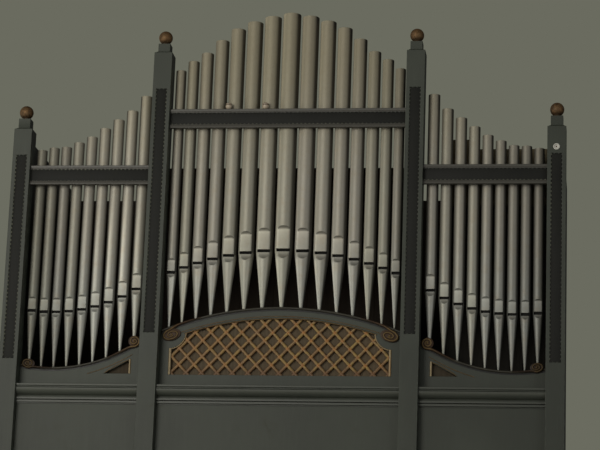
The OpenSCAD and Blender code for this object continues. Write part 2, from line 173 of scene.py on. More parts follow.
class Shell:
    """Closed surfaces gathered into one mesh, with a few named values kept at each point."""

    def __init__(self, *values):
        self.points, self.faces, self.values, self.count = [], [], {v: [] for v in values}, 0

    def add(self, places, faces, **values):
        """Faces are index arrays of one length each, values are one number or one per point."""
        places = places.reshape(-1, 3)
        for block in faces:
            self.faces += (block + self.count).tolist()
        for name, kept in self.values.items():
            kept.append(np.broadcast_to(np.ravel(values.get(name, 0.0)), len(places)))
        self.points.append(places)
        self.count += len(places)

    def rings(self, rings, ends="flat", **values):
        """A skin over rings[j, i]: ring j, point i round it. The ends are flat faces, poles in the
        middle of the end rings, or joined to each other."""
        j, i = rings.shape[:2]
        n = np.arange(j * i).reshape(j, i)
        places = rings.reshape(-1, 3)
        kept = {k: np.broadcast_to(v, (j, i)) for k, v in values.items()}
        caps = []
        if ends == "joined":
            n = np.vstack([n, n[:1]])
        nxt = np.roll(n, -1, axis=1)
        if ends == "flat":
            caps = [n[0][None, ::-1], n[-1][None, :]]
        elif ends == "poles":
            places = np.vstack([places, rings[0].mean(0), rings[-1].mean(0)])
            kept = {k: np.append(v, [v[0, 0], v[-1, 0]]) for k, v in kept.items()}
            caps = [np.stack([nxt[0], n[0], np.full(i, j * i)], axis=-1),
                    np.stack([n[-1], nxt[-1], np.full(i, j * i + 1)], axis=-1)]
        quads = np.stack([n[:-1], nxt[:-1], nxt[1:], n[1:]], axis=-1).reshape(-1, 4)
        self.add(places, [quads, *caps], **kept)

    def many(self, form, faces, places, **values):
        """One small form repeated at each of the places."""
        step = (np.arange(len(places)) * len(form))[:, None, None]
        self.add(form + places[:, None, :], [(f + step).reshape(-1, f.shape[1]) for f in faces], **values)

    def mesh(self, name):
        mesh = bpy.data.meshes.new(name)
        mesh.from_pydata(np.vstack(self.points).tolist(), [], self.faces)
        for value, kept in self.values.items():
            mesh.attributes.new(value, "FLOAT", "POINT").data.foreach_set(
                "value", np.concatenate(kept).astype(np.float32))
        return mesh

    def build(self, name, slot, finish, nodes=(), sharp=32.0):
        """The gathered surfaces as one piece of the organ, in place of the nodes."""
        finish_piece(self.mesh(name), name, finish, nodes, sharp)


def finish_piece(mesh, name, finish, nodes, sharp, bevel=None):
    """Turns the faces outward, marks edges past the sharp angle, and seats the piece in the frame."""
    net = bmesh.new()
    net.from_mesh(mesh)
    bmesh.ops.recalc_face_normals(net, faces=net.faces)
    net.to_mesh(mesh)
    net.free()
    mesh.shade_smooth()
    mesh.set_sharp_from_angle(angle=math.radians(sharp))
    mesh.materials.append(finish_of(finish))
    piece = bpy.data.objects.new(name, mesh)
    bpy.context.scene.collection.objects.link(piece)
    if bevel:
        soft = piece.modifiers.new("soft edges", "BEVEL")
        soft.width, soft.segments, soft.limit_method = bevel, 2, "ANGLE"
        soft.angle_limit = math.radians(38)
        soft.harden_normals, soft.loop_slide = False, False
    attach(piece, "root")
    if nodes:
        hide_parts(*nodes)


def softened(nodes, width, finish="case_paint"):
    """Copies of case nodes with doubles merged, flat faces joined and arrises softened."""
    for node in nodes:
        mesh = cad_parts[node].data.copy()
        mesh.materials.clear()
        net = bmesh.new()
        net.from_mesh(mesh)
        bmesh.ops.remove_doubles(net, verts=net.verts, dist=1e-5)
        bmesh.ops.dissolve_limit(net, angle_limit=math.radians(0.4), verts=net.verts, edges=net.edges)
        net.to_mesh(mesh)
        net.free()
        mesh.name = node + "_painted"
        finish_piece(mesh, node + "_painted", finish, [node], 30.0, width)


def repaint(nodes, finish):
    """A better finish in the material slots of case nodes."""
    for node in nodes:
        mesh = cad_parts[node].data
        if not mesh.materials:
            mesh.materials.append(finish_of(finish))
        for k in range(len(mesh.materials)):
            mesh.materials[k] = finish_of(finish)


def carried(profile, path, across, out):
    """A profile carried along a path: point = path + a * across + b * out."""
    a, b = np.asarray(profile, float).T[:, None, :, None]
    return path[:, None, :] + a * across[..., None, :] + b * out[..., None, :]


def along_x(profile, x0, x1):
    """Rings of a (Y, Z) profile carried straight along X."""
    return carried(profile, at_case(points(np.linspace(x0, x1, 9), 0.0, 0.0)), BACK, UP)


def arc_path(x, z, radius, a0, a1, count):
    """Points and outward directions on an arc in the X-Z plane, angles from the upward direction."""
    a = np.linspace(a0, a1, count)
    out = points(np.sin(a), 0.0, np.cos(a))
    return at_case(np.array([x, 0.0, z]) + radius * out), out


def sideways(line):
    """Unit directions square to a line of (X, Z) points, in its plane."""
    ahead = np.gradient(line, axis=0)
    ahead /= np.linalg.norm(ahead, axis=1)[:, None]
    return points(-ahead[:, 1], 0.0, ahead[:, 0])


def turned(outline, count):
    """Rings of a form turned about Z: ring j has its radius and height from the outline."""
    r, z = np.asarray(outline, float).T[..., None]
    a = round_about(count)
    return points(r * np.cos(a), r * np.sin(a), z)


# ---------- finishes ----------

class Num:
    """A number in a material. Plain arithmetic on it adds Math nodes."""

    def __init__(self, finish, socket):
        self.finish, self.socket = finish, socket

    def _math(self, operation, *values):
        made = self.finish.node("Math", dict(enumerate(values)), operation=operation)
        return Num(self.finish, made.outputs[0])

    def __add__(self, other): return self._math("ADD", self, other)
    def __sub__(self, other): return self._math("SUBTRACT", self, other)
    def __rsub__(self, other): return self._math("SUBTRACT", other, self)
    def __mul__(self, other): return self._math("MULTIPLY", self, other)
    def __truediv__(self, other): return self._math("DIVIDE", self, other)
    def __mod__(self, other): return self._math("FLOORED_MODULO", self, other)
    def __abs__(self): return self._math("ABSOLUTE", self)
    def least(self, other): return self._math("MINIMUM", self, other)
    def most(self, other): return self._math("MAXIMUM", self, other)
    __radd__, __rmul__ = __add__, __mul__

    def ramp(self, low, high):
        """0 below low, 1 above high, smooth between."""
        made = self.finish.node("MapRange", {"Value": self, "From Min": low, "From Max": high},
                                interpolation_type="SMOOTHSTEP")
        return Num(self.finish, made.outputs[0])


class Nodes:
    """The node tree of a material or of the world, emptied and built anew."""

    def __init__(self, owner):
        owner.use_nodes = True
        self.tree = owner.node_tree
        self.tree.nodes.clear()

    def node(self, kind, inputs=None, **settings):
        """A node by type, with its settings first and then the values or links of its sockets."""
        made = self.tree.nodes.new("ShaderNode" + kind)
        for key, value in settings.items():
            setattr(made, key, value)
        for key, value in (inputs or {}).items():
            self.feed(made.inputs[key], value)
        return made

    def feed(self, socket, value):
        if isinstance(value, Num):
            value = value.socket
        if isinstance(value, bpy.types.NodeSocket):
            self.tree.links.new(value, socket)
        else:
            socket.default_value = (*value, 1.0) if socket.type == "RGBA" else value


def scaled(rgb, *k):
    """A colour times one number, or times one number for each channel."""
    return tuple(min(1.0, c * m) for c, m in zip(rgb, k * 3 if len(k) == 1 else k))


class Finish(Nodes):
    """A material under construction, read in object coordinates: its base colour and its tone so far."""

    def __init__(self, name, base, roughness, metallic=0.0, specular=0.5):
        self.material = bpy.data.materials.new(name)
        super().__init__(self.material)
        self.base = self.tone = base
        self.shader = self.node("BsdfPrincipled", {
            "Roughness": roughness, "Metallic": metallic, "Specular IOR Level": specular})
        self.node("OutputMaterial", {"Surface": self.shader.outputs[0]})
        self.place = self.node("TexCoord").outputs["Object"]

    def axes(self):
        return [Num(self, s) for s in self.node("SeparateXYZ", {0: self.place}).outputs]

    def stretched(self, *scale):
        return self.node("Mapping", {"Vector": self.place, "Scale": scale}).outputs[0]

    def noise(self, scale, detail=3.0, rough=0.55, place=None, warp=0.0):
        made = self.node("TexNoise", {"Vector": place or self.place, "Scale": scale, "Detail": detail,
                                      "Roughness": rough, "Distortion": warp})
        return Num(self, made.outputs["Fac"])

    def grain(self, across, along, detail, rough):
        """Noise that is drawn out upright."""
        return self.noise(1.0, detail, rough, self.stretched(across, across, along))

    def cells(self, scale, feature="F1", place=None):
        made = self.node("TexVoronoi", {"Vector": place or self.place, "Scale": scale}, feature=feature)
        return Num(self, made.outputs["Distance"])

    def value(self, name):
        """A value kept at each point of the piece's mesh."""
        return Num(self, self.node("Attribute", attribute_name=name).outputs["Fac"])

    def mix(self, a, b, share):
        """Colour a where share is 0, colour b where it is 1."""
        return self.node("Mix", {0: share, 6: a, 7: b}, data_type="RGBA").outputs[2]

    def spread(self, share, dark, light):
        """Starts the tone: the base colour times dark where share is 0 and times light where it is 1."""
        self.tone = self.mix(scaled(self.base, dark), scaled(self.base, light), share)

    def blend(self, share, *k):
        """Brings a share of the tone to the base colour times k, one number or one for each channel."""
        self.tone = self.mix(self.tone, scaled(self.base, *k), share)

    def shade(self, factor):
        """Multiplies the tone by a number."""
        self.tone = self.node("VectorMath", {0: self.tone, "Scale": factor}, operation="SCALE").outputs[0]

    def bump(self, height, depth, strength):
        made = self.node("Bump", {"Height": height, "Distance": depth, "Strength": strength})
        self.feed(self.shader.inputs["Normal"], made.outputs[0])

    def done(self, **sockets):
        """The material, with the tone and the named sockets fed."""
        self.feed(self.shader.inputs["Base Color"], self.tone)
        for key, value in sockets.items():
            self.feed(self.shader.inputs[key], value)
        return self.material


FINISHES = {}


def finish_of(name):
    """Each finish is made once, when the first piece asks for it."""
    if name not in FINISHES:
        FINISHES[name] = RECIPES[name](name)
    return FINISHES[name]


def painted(name, gloss, arrises=False, worn=False):
    """Oil paint on wood: broad tone, upright brush marks, dust, a little wear and fine cracks. Arrises
    are rubbed pale where the posts meet the bays, and worn pieces are paler where their mesh's worn value
    says so, partly rubbed paint and partly a painted highlight."""
    f = Finish(name, tint("paint"), gloss, specular=0.44 if worn else 0.28)
    x, _, z = f.axes()
    broad, brush, grain = f.noise(1.7), f.grain(95.0, 5.0, 4.0, 0.6), f.grain(240.0, 9.0, 5.0, 0.65)
    f.spread(broad.ramp(0.32, 0.68), 0.84, 1.14)
    f.blend(brush.ramp(0.5, 0.8) * 0.32, 1.26)
    f.blend((1 - grain.ramp(0.24, 0.42)) * 0.34, 0.62)
    stain = f.noise(6.5, 6.0, 0.7).ramp(0.56, 0.74) * f.noise(31.0, 4.0).ramp(0.4, 0.7)
    f.blend(stain * 0.5, 1.05, 0.9, 0.74)
    if arrises:
        near = abs(abs(x) - BAY_IN)
        for edge in (WING_IN, WING_OUT, 2 * END_X - WING_OUT):
            near = near.least(abs(abs(x) - edge))
        f.blend((1 - near.ramp(0.0008, 0.0042)) * f.noise(24.0, 4.0).ramp(0.44, 0.62) * 0.55, 1.75)
    f.blend(f.noise(46.0, 5.0, 0.72).ramp(0.67, 0.72) * 0.16, 1.5)
    if worn:
        f.blend(f.value("warm") * 0.85, 1.12, 0.90, 0.93)
        # Paler by the worn value: rubbed paint, and a painted highlight on the mouldings' torus and fillets
        f.blend(f.value("worn") * (0.7 + 0.6 * brush) * 0.55, 1.75, 1.66, 1.66)
    f.blend((1 - z.ramp(0.02, 0.30)) * f.noise(9.0, 5.0).ramp(0.35, 0.75) * 0.6, 0.55)
    f.bump(brush * 0.55 + grain * 0.35 + f.noise(330.0, 2.0) * 0.12, 0.0006, 0.6)
    return f.done(Roughness=gloss + 0.16 * broad - 0.1 * brush + 0.12 * stain)


def sunk_paint(name):
    """Dark matt paint in the sunk panels, with dust lying in its grain."""
    f = Finish(name, tint("sunk"), 0.62, specular=0.25)
    grain, blotch = f.grain(180.0, 11.0, 5.0, 0.65), f.noise(7.0, 5.0, 0.65)
    f.spread(blotch.ramp(0.3, 0.7), 0.74, 1.22)
    f.blend(grain.ramp(0.5, 0.72) * 0.4, 1.25, 1.05, 1.0)
    f.blend(f.noise(120.0, 3.0, 0.7).ramp(0.66, 0.74) * 0.3, 2.3)
    f.bump(grain * 0.7 + f.noise(260.0, 2.0) * 0.3, 0.0007, 0.7)
    return f.done(Roughness=0.6 + 0.2 * blotch - 0.1 * grain)


def tooth_paint(name):
    """Paint on the carved teeth: pale by the rub value, partly rubbed paint and partly a painted highlight, with
    painted shade in the cuts.
    """
    f = Finish(name, tint("paint"), 0.45)
    # Pale by the rub value: rubbed paint and a painted highlight on the columns that face the light
    rub = f.value("rub") * (0.45 + 0.8 * f.noise(3.3, 2.0).ramp(0.36, 0.6))
    f.tone = f.mix(scaled(f.base, 0.46), scaled(f.base, 3.1, 2.8, 2.6), rub)
    # Painted shade low on each tooth, in the cuts
    f.blend(1 - f.value("crown").ramp(0.1, 0.6), 0.3)
    f.blend(f.noise(60.0).ramp(0.5, 0.66) * 0.4, 0.6)
    f.bump(f.noise(420.0), 0.0004, 0.6)
    return f.done(Roughness=0.4 + 0.25 * f.noise(40.0))


def pipe_metal(name):
    """Satin tin: cooler low down, spotted bloom, upright planing marks, dust high up, painted shade in the
    mouths, and the painted highlights and painted shade that the mesh's shade value carries.
    """
    f = Finish(name, tint("metal"), 0.48, 0.4)
    z, inner = f.axes()[2], f.value("inner")
    spots = f.cells(72.0, "SMOOTH_F1", f.stretched(1.0, 1.0, 0.8))
    bloom, lines = f.noise(26.0, 5.0, 0.62), f.grain(520.0, 7.0, 4.0, 0.6)
    f.tone = scaled(f.base, 0.98, 1.05, 1.12)
    f.blend(z.ramp(WAIST + 0.5, WAIST + 1.05), 1.0)
    hue = abs((f.value("tone") * 7.0) % 1.0 - 0.5) * 2.0
    f.blend(hue.ramp(0.4, 1.0) * 0.5, 0.99, 1.03, 0.93)
    f.blend(bloom.ramp(0.45, 0.75) * 0.5, 1.03, 0.95, 0.84)
    dust = z.ramp(WAIST + 1.1, WAIST + 2.0)
    f.blend(dust * 0.7, 0.82, 0.76, 0.58)
    worn = 0.036 * (1 - spots.ramp(0.18, 0.5)) + 0.06 * (1 - lines.ramp(0.25, 0.5))
    # The shade value of the mesh carries the pipes' painted highlights and painted shade
    f.shade((0.88 + 0.2 * f.value("tone")) * (1 - worn) * f.value("shade"))
    # Painted shade: near black in the mouths and inside the bore, by the inner value
    f.tone = f.mix(f.tone, (0.004, 0.003, 0.002), inner)
    f.bump(lines * 0.5 + bloom * 0.6 + f.noise(9.0, 2.0) * 3.0, 0.0006, 0.35)
    return f.done(Roughness=0.44 + 0.12 * bloom + 0.08 * f.noise(3.1) + 0.1 * dust + 0.3 * inner,
                  Metallic=0.4 - 0.4 * inner)


def gilded(name, base, ground, metallic, wear=0.5, rim=(0.18, 0.62), crossings=False, dull=0.0):
    """Gold paint on a coloured ground: crowns brightened as a painted highlight, the ground showing at the
    edges, partly worn through and partly as painted shade on the flanks, worn patches, and duller by the
    share dull toward the case's ends; with dull, painted shade also darkens where the crown is lowest.
    Crossings of the lattice turn orange."""
    f = Finish(name, base, 0.42, metallic, 0.25 if dull else 0.5)
    crown, patch, rub = f.value("crown"), f.noise(17.0, 5.0, 0.65), f.noise(85.0, 4.0, 0.7)
    x, _, z = f.axes()
    f.spread(patch.ramp(0.3, 0.7), 0.78, 1.18)
    f.blend(f.noise(5.0).ramp(0.5, 0.66) * 0.55, 1.12, 0.84, 0.62)
    # The ground at the low crowns: partly worn through, partly painted shade on the flanks
    f.tone = f.mix(ground, f.tone, (crown + rub * 0.5 - 0.25).ramp(*rim))
    # With dull, painted shade where the crown is lowest, in the grooves of the carving
    if dull:
        f.shade(0.2 + 0.8 * crown.ramp(0.0, 0.12))
    if crossings:
        s, fleck = sizes(), f.noise(34.0, 4.0, 0.6)
        f.blend(fleck.ramp(0.50, 0.60) * 0.7, 1.35, 1.38, 0.90)
        f.blend((1 - fleck.ramp(0.40, 0.50)) * 0.7, 0.66, 0.54, 0.48)
        across, up = x / s.lattice_pitch, (z - WAIST - s.lattice_row) / s.lattice_rise
        near = abs((across + up + 0.5) % 1.0 - 0.5).most(abs((across - up + 0.5) % 1.0 - 0.5))
        f.blend((1 - near.ramp(0.05, 0.19)) * patch.ramp(0.34, 0.5) * 0.9, 1.45, 0.90, 0.38)
        f.blend((1 - x.ramp(-0.6, 0.3)) * 0.5, 0.92, 0.74, 0.62)
        foot = 1 - (z - WAIST + 0.02 * patch).ramp(0.186, 0.232)
        f.blend(foot * 0.85, 0.42, 0.30, 0.26)
    f.tone = f.mix(f.tone, ground, patch.ramp(0.60, 0.72) * wear * rub.ramp(0.4, 0.6))
    # Painted highlight on the crowns, in rubbed spots
    f.blend(rub.ramp(0.58, 0.74) * crown.ramp(0.6, 1.0) * 0.45, 1.35)
    if dull:
        f.shade(1 - dull * abs(x).ramp(1.0, 1.25))
    f.bump(rub * 0.6 + f.noise(300.0, 2.0) * 0.3, 0.0006, 0.7)
    return f.done(Roughness=0.36 + 0.3 * patch, Metallic=metallic * (1 - 0.6 * patch.ramp(0.5, 0.7)))


def nose_paint(name):
    """Olive-bronze paint on the shelf noses: brighter on the rolls, with painted shade, near black, in the grooves,
    the quirk and underneath.
    """
    f = Finish(name, tint("nose"), 0.42, 0.15)
    patch, rub = f.noise(14.0, 5.0, 0.65), f.noise(60.0, 4.0, 0.7)
    f.spread(patch.ramp(0.35, 0.65), 0.80, 1.2)
    f.blend(rub.ramp(0.55, 0.7) * patch.ramp(0.45, 0.65) * 0.4, 1.3, 1.05, 0.85)
    # Painted shade, near black, where the crown is low: the groove, the quirk and the underside
    f.blend(1 - f.value("crown").ramp(0.1, 0.8), 0.06)
    f.bump(rub * 0.6 + f.noise(280.0) * 0.3, 0.0005, 0.6)
    return f.done(Roughness=0.38 + 0.25 * patch)


def copper_leaf(name):
    """Old leaf on a turned ball: patches of rubbed copper over a dark ground, with painted shade at the foot."""
    f = Finish(name, tint("copper"), 0.5, 0.6)
    patch, leaf = f.noise(38.0, 5.0, 0.65, warp=0.6), f.cells(52.0)
    f.spread(patch.ramp(0.32, 0.62), 0.48, 1.2)
    f.blend(leaf.ramp(0.45, 0.75) * 0.35, 1.55, 1.35, 1.15)
    # Painted shade on the collar and the foot of the ball, where the crown is low
    f.blend((1 - f.value("crown").ramp(0.05, 0.3)) * 0.8, 0.2)
    f.bump(patch * 0.6 + leaf * 0.4 + f.noise(240.0) * 0.2, 0.0012, 0.7)
    return f.done(Roughness=0.42 + 0.3 * patch, Metallic=0.6 - 0.35 * patch.ramp(0.55, 0.75))


def board_wood(name, base, gloss, planks=0.0, painted_shade=None, ends=0.0, grain=1.0):
    """Sawn boards: long upright grain and lighter scuffs, with joints if wide, painted dark as painted shade
    up to the place given as axis, start, end and share of the colour left, and duller by the share ends
    behind the wings. The strength of the grain is grain."""
    f = Finish(name, tint(base), gloss, specular=0.12)
    x, y, _ = axes = f.axes()
    fibre, broad = f.grain(420.0, 14.0, 5.0, 0.68), f.noise(2.3, 4.0)
    late = abs((x * 46.0 + y * 46.0 + f.grain(7.0, 0.9, 3.0, 0.5) * 5.5) % 1.0 - 0.5) * 2.0
    f.spread(late.ramp(0.15, 0.95), 1 - 0.28 * grain, 1 + 0.2 * grain)
    f.blend((1 - fibre.ramp(0.3, 0.55)) * 0.5 * grain, 0.66)
    f.blend(broad.ramp(0.4, 0.7) * 0.45, 1.15, 1.02, 0.92)
    height = fibre * 0.8 + late * 0.3
    if planks:
        seam = 1 - abs((x / planks) % 1.0 - 0.5).ramp(0.0, 0.012)
        f.shade(1 - 0.238 * f.noise(1.0, 0.0, 0.5, f.stretched(1.02 / planks, 0.0, 0.0)).ramp(0.3, 0.7))
        f.blend(seam * 0.9, 0.14)
        height = height - seam * 3.0
    # Painted shade: dark up to the given place
    if painted_shade:
        axis, start, end, left = painted_shade
        f.blend(1 - axes[axis].ramp(start, end), left)
    if ends:
        f.shade(1 - ends * abs(x).ramp(0.62, 0.72))
    f.bump(height, 0.0009, 0.7)
    return f.done(Roughness=gloss + 0.2 * broad - 0.12 * fibre)


def back_wood(name):
    """Boards of the back and the deck, painted near black inside the case as painted shade."""
    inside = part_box("back_lower")[0].y
    return board_wood(name, "boards", 0.6, 0.186, (1, inside + 0.001, inside + 0.012, 0.22))


def glazed(name, base):
    """Old glaze: fine grime in its hollows and a little crazing, darker by the mesh's dark value: in the turned
    groove, on the knob's cap, and as painted shade in the eyelet's middle.
    """
    f = Finish(name, tint(base), 0.22)
    grime, craze = f.noise(90.0, 5.0, 0.7), f.cells(260.0, "DISTANCE_TO_EDGE")
    f.blend(grime.ramp(0.5, 0.72) * 0.6, 0.55)
    f.blend((1 - craze.ramp(0.0, 0.05)) * 0.4, 0.5)
    f.blend(f.value("dark"), 0.14, 0.09, 0.07)
    f.bump(grime, 0.0003, 0.5)
    return f.done(Roughness=0.2 + 0.3 * grime)


RECIPES = {
    "case_paint": lambda name: painted(name, 0.48, arrises=True),
    "moulding_paint": lambda name: painted(name, 0.42, worn=True),
    "side_paint": lambda name: painted(name, 0.5),
    "lattice_gold": lambda name: gilded(name, tint("gold"), tint("amber"), 0.25, rim=(0.42, 0.98), crossings=True),
    "trim_gold": lambda name: gilded(name, tint("trim"), tint("amber"), 0.25),
    "bronze_carving": lambda name: gilded(name, scaled(tint("bronze"), 1.35), tint("carving"), 0.2, 0.3,
                                          (0.35, 0.8), dull=0.5),
    "bronze_line": lambda name: gilded(name, scaled(tint("bronze"), 1.05), scaled(tint("bronze"), 0.5), 0.3),
    "recess_wood": lambda name: board_wood(name, "recess", 0.66, ends=0.5, grain=0.35),
    # The pine is painted dark below a height, as painted shade behind the front pipes
    "pine": lambda name: board_wood(name, "wood", 0.5, painted_shade=(2, WAIST + 1.13, WAIST + 1.17, 0.08)),
    "knob_glaze": lambda name: glazed(name, "knob"),
    "eyelet_glaze": lambda name: glazed(name, "eyelet"),
    **{f.__name__: f for f in (sunk_paint, tooth_paint, pipe_metal, nose_paint, copper_leaf, back_wood)},
}


# ---------- forms that are repeated or carved ----------

def tooth_form(wide, reach, high):
    """Half dome on its side: across = reach cos(a) cos(b), along = wide/2 sin(a) cos(b),
    proud = high sin(b), for a over a half turn, closed by its flat back and foot."""
    rows, cols = 3, 8
    b = np.linspace(0, math.pi / 2, rows + 1)[:-1, None]
    a = np.linspace(-math.pi / 2, math.pi / 2, cols)
    dome = points(reach * np.cos(a) * np.cos(b), wide / 2 * np.sin(a) * np.cos(b), high * np.sin(b))
    n, peak = np.arange(rows * cols).reshape(rows, cols), rows * cols
    quads = np.stack([n[:-1, :-1], n[:-1, 1:], n[1:, 1:], n[1:, :-1]], axis=-1).reshape(-1, 4)
    tris = np.stack([n[-1, :-1], n[-1, 1:], np.full(cols - 1, peak)], axis=-1)
    back = np.concatenate([n[:, 0], [peak], n[::-1, -1]])[None]
    return np.vstack([dome.reshape(-1, 3), [[0.0, 0.0, high]]]), [quads, tris, n[0][None, ::-1], back]


def teeth_row(shell, start, step, count, into, rub):
    """Teeth from start, one each step, pointing into the panel, and pale to the share rub, which stands for rubbed
    paint and a painted highlight.
    """
    s = sizes()
    step = np.asarray(step, float)
    pitch = np.linalg.norm(step)
    form, faces = tooth_form(0.60 * pitch, s.tooth_reach, s.sunk_depth)
    turn = np.stack([into, step / pitch, -BACK], axis=1)
    places = at_case(np.asarray(start) + np.arange(count)[:, None] * step)
    shell.many(form @ turn.T, faces, places, crown=np.tile(form[:, 2] / s.sunk_depth, count), rub=rub)


def panel_slab(shell, low, high, y, thick):
    """A thin board with rounded front arrises, between two corners (X, Z), its face at Y."""
    (x0, z0), (x1, z1), edge = low, high, 0.0012
    inset, back = np.array([(0.0, thick), (0.0, edge), (0.3 * edge, 0.3 * edge), (edge, 0.0)]).T[..., None]
    x = np.array([x0, x1, x1, x0]) + inset * np.array([1, -1, -1, 1])
    z = np.array([z0, z0, z1, z1]) + inset * np.array([1, 1, -1, -1])
    shell.rings(at_case(points(x, y + back, z)))


def volute(shell, at, half_long, half_high, tilt, sign, lead, y):
    """A carved volute: a low oval boss, and on it a bead that comes in along lead and winds inward,
    at share q of its 1.7 turns, on the oval drawn in to 0.94 - 0.70 q, ending in a round eye."""
    c, s = math.cos(tilt), math.sin(tilt)
    turns, outer, draw, low_rise, dome_rise, lead_n = 1.7, 0.94, 0.70, 0.0035, 0.0035, len(lead)

    def on_oval(k, a):
        u, v = half_long * k * np.cos(a), half_high * k * np.sin(a)
        return at[0] + u * c - v * s, at[1] + u * s + v * c

    k = outer * np.concatenate([[1.0, 0.99], np.linspace(0.94, 0.08, 12)])[:, None]
    x, z = on_oval(k, round_about(48))
    front = points(x, y - (k < outer) * (low_rise + dome_rise * np.sqrt(1 - k ** 2)), z)
    # Crown of the boss: zero at its rim, for painted shade there, and low inside, where the ground colour shows
    ground = np.concatenate([[0.0, 0.0], np.full(len(k) - 1, 0.2)])[:, None]
    shell.rings(at_case(np.concatenate([front[:1] + 0.0004 * BACK, front])), "poles", crown=ground)

    dx, dz = lead[-1] - at
    share = np.linspace(0, 1, 84)
    k = outer - draw * share
    wind = math.atan2(dz * c - dx * s, dx * c + dz * s) + sign * 2 * math.pi * turns * share
    line = np.concatenate([lead, np.stack(on_oval(k, wind), axis=-1)[3:]])
    for _ in range(3):
        line[1:-1] = 0.5 * line[1:-1] + 0.25 * (line[:-2] + line[2:])
    n = len(line) - lead_n
    grow = np.concatenate([np.linspace(0.35, 1.0, lead_n), np.linspace(1.0, 0.72, n)])[:, None]
    lift = np.concatenate([np.linspace(0.0005, low_rise + 0.001, lead_n),
                           low_rise + 0.001 + dome_rise * np.sqrt(1 - np.linspace(k[0], k[-1], n) ** 2)])
    t = np.linspace(0, math.pi, 9)
    section = np.stack([-np.cos(t), np.sin(t)], axis=-1)
    section[[0, -1], 0] *= 1.5
    across = sideways(line) * 0.0046 * grow * (0.75 + half_high / 0.132)
    rings = carried(section, at_case(points(line[:, 0], y - lift, line[:, 1])), across, -0.0035 * grow * BACK)
    bright = np.concatenate([np.linspace(0.25, 0.6, lead_n), np.ones(n)])[:, None]
    # Crown of the bead: high on its top, for a painted highlight, low on its flanks, for the ground colour and
    # painted shade
    shell.rings(rings, crown=section[:, 1] * bright)

    dome = np.radians([0, 25, 50, 75])
    eye = turned(np.stack([0.0072 * np.cos(dome), -0.004 - 0.0075 * np.sin(dome)], axis=-1), 20)[..., LAID_BACK]
    # Crown of the eye rises to its top, for a painted highlight there
    shell.rings(at_case(eye + [at[0], y, at[1]]), "poles", crown=np.array([0.3, 0.7, 1.0, 1.0])[:, None])


# ---------- where the bays, shelves and openings run ----------

def bays(stem):
    """Name, start and end in X of a node that each bay has."""
    return ((stem + "_left", -WING_OUT, -WING_IN), (stem + "_centre", -BAY_IN, BAY_IN),
            (stem + "_right", WING_IN, WING_OUT))


def names(*stems):
    return [name for stem in stems for name, _, _ in bays(stem)]


def arch_low():
    return sizes().arch_crown - sizes().arch_radius


def arch_height(x):
    return arch_low() + np.sqrt(sizes().arch_radius ** 2 - x ** 2)


def sweep_centre():
    return WING_OUT - sizes().sweep_inset, sizes().sweep_low + sizes().sweep_radius


def sweep_height(x):
    cx, cz = sweep_centre()
    return cz - np.sqrt(sizes().sweep_radius ** 2 - (x - cx) ** 2)


# ---------- operators ----------

class ORGAN_OT_posts(bpy.types.Operator):
    """Builds the four painted posts, their dark sunk panels and the carved teeth"""
    bl_idname = "organ.posts"
    bl_label = "Posts"

    def execute(self, context):
        s = sizes()
        pitch, half = s.tooth_pitch, s.sunk_half
        floor, past = s.sunk_depth - 0.0004, 0.0002
        softened(["post_left_end", "post_left_middle", "post_right_middle", "post_right_end"], SOFT_POST)
        panels, teeth = Shell(), Shell("crown", "rub")
        end, middle = (s.flute_end_low, s.flute_end_top), (s.flute_mid_low, s.flute_mid_top)
        # Paleness of the teeth on each side of a post: rubbed paint and a painted highlight, set post by post, more
        # on the left sides that face the light
        for x, (low, high), rubs_and_highlights in ((-END_X, end, (1.0, 0.5)), (-MID_X, middle, (0.7, 0.6)),
                                     (MID_X, middle, (0.3, 0.15)), (END_X, end, (0.8, 0.05))):
            panel_slab(panels, (x - half + SEAT, low + SEAT), (x + half - SEAT, high - SEAT),
                       s.sunk_depth - 0.0012, 0.001)
            first = low + 0.86 * pitch
            count = 1 + int((high - first - 0.3 * pitch) / pitch)
            for side, rub in zip((-1, 1), rubs_and_highlights):
                teeth_row(teeth, (x + side * (half + past), floor, first), (0, 0, pitch), count, (-side, 0, 0), rub)
            across = int(2 * half / pitch)
            start = x - (across - 1) * pitch / 2
            for z, way in ((low - past, 1), (high + past, -1)):
                teeth_row(teeth, (start, floor, z), (pitch, 0, 0), across, (0, 0, way), 0.1)
        panels.build("post_sunk_panels", "case_paint", "sunk_paint")
        teeth.build("post_teeth", "case_paint", "tooth_paint", sharp=50)
        return {"FINISHED"}


class ORGAN_OT_finials(bpy.types.Operator):
    """Builds the four turned balls"""
    bl_idname = "organ.finials"
    bl_label = "Ball finials"

    def execute(self, context):
        shell = Shell("crown")
        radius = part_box("finials")[1].x - END_X
        t = np.linspace(0.20 * math.pi, math.pi, 24)[:-1]
        ball = np.stack([radius * 0.999 * np.sin(t), 0.0035 + radius * (1 - 0.999 * np.cos(t))], axis=-1)
        collar = [(0.0205, 0.0), (0.0210, 0.0006), (0.0210, 0.0026), (0.0196, 0.0036), (0.0190, 0.0056),
                  (0.0204, 0.0072)]
        rings = turned(np.vstack([collar, ball, [(0.004, 2 * radius + 0.0033)]]), 48)
        # The crown rises from the collar up the ball; its low values give painted shade at the foot
        crown = np.concatenate([np.zeros(len(collar)), np.linspace(0.1, 1.0, len(ball)), [1.0]])[:, None]
        for x, post in ((MID_X, "post_right_middle"), (END_X, "post_right_end")):
            for side in (-1, 1):
                foot = [side * x, POST_Y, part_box(post)[1].z + SEAT - WAIST]
                shell.rings(at_case(rings + foot), "poles", crown=crown)
        shell.build("ball_finials", "copper", "copper_leaf", ["finials"], sharp=60)
        return {"FINISHED"}


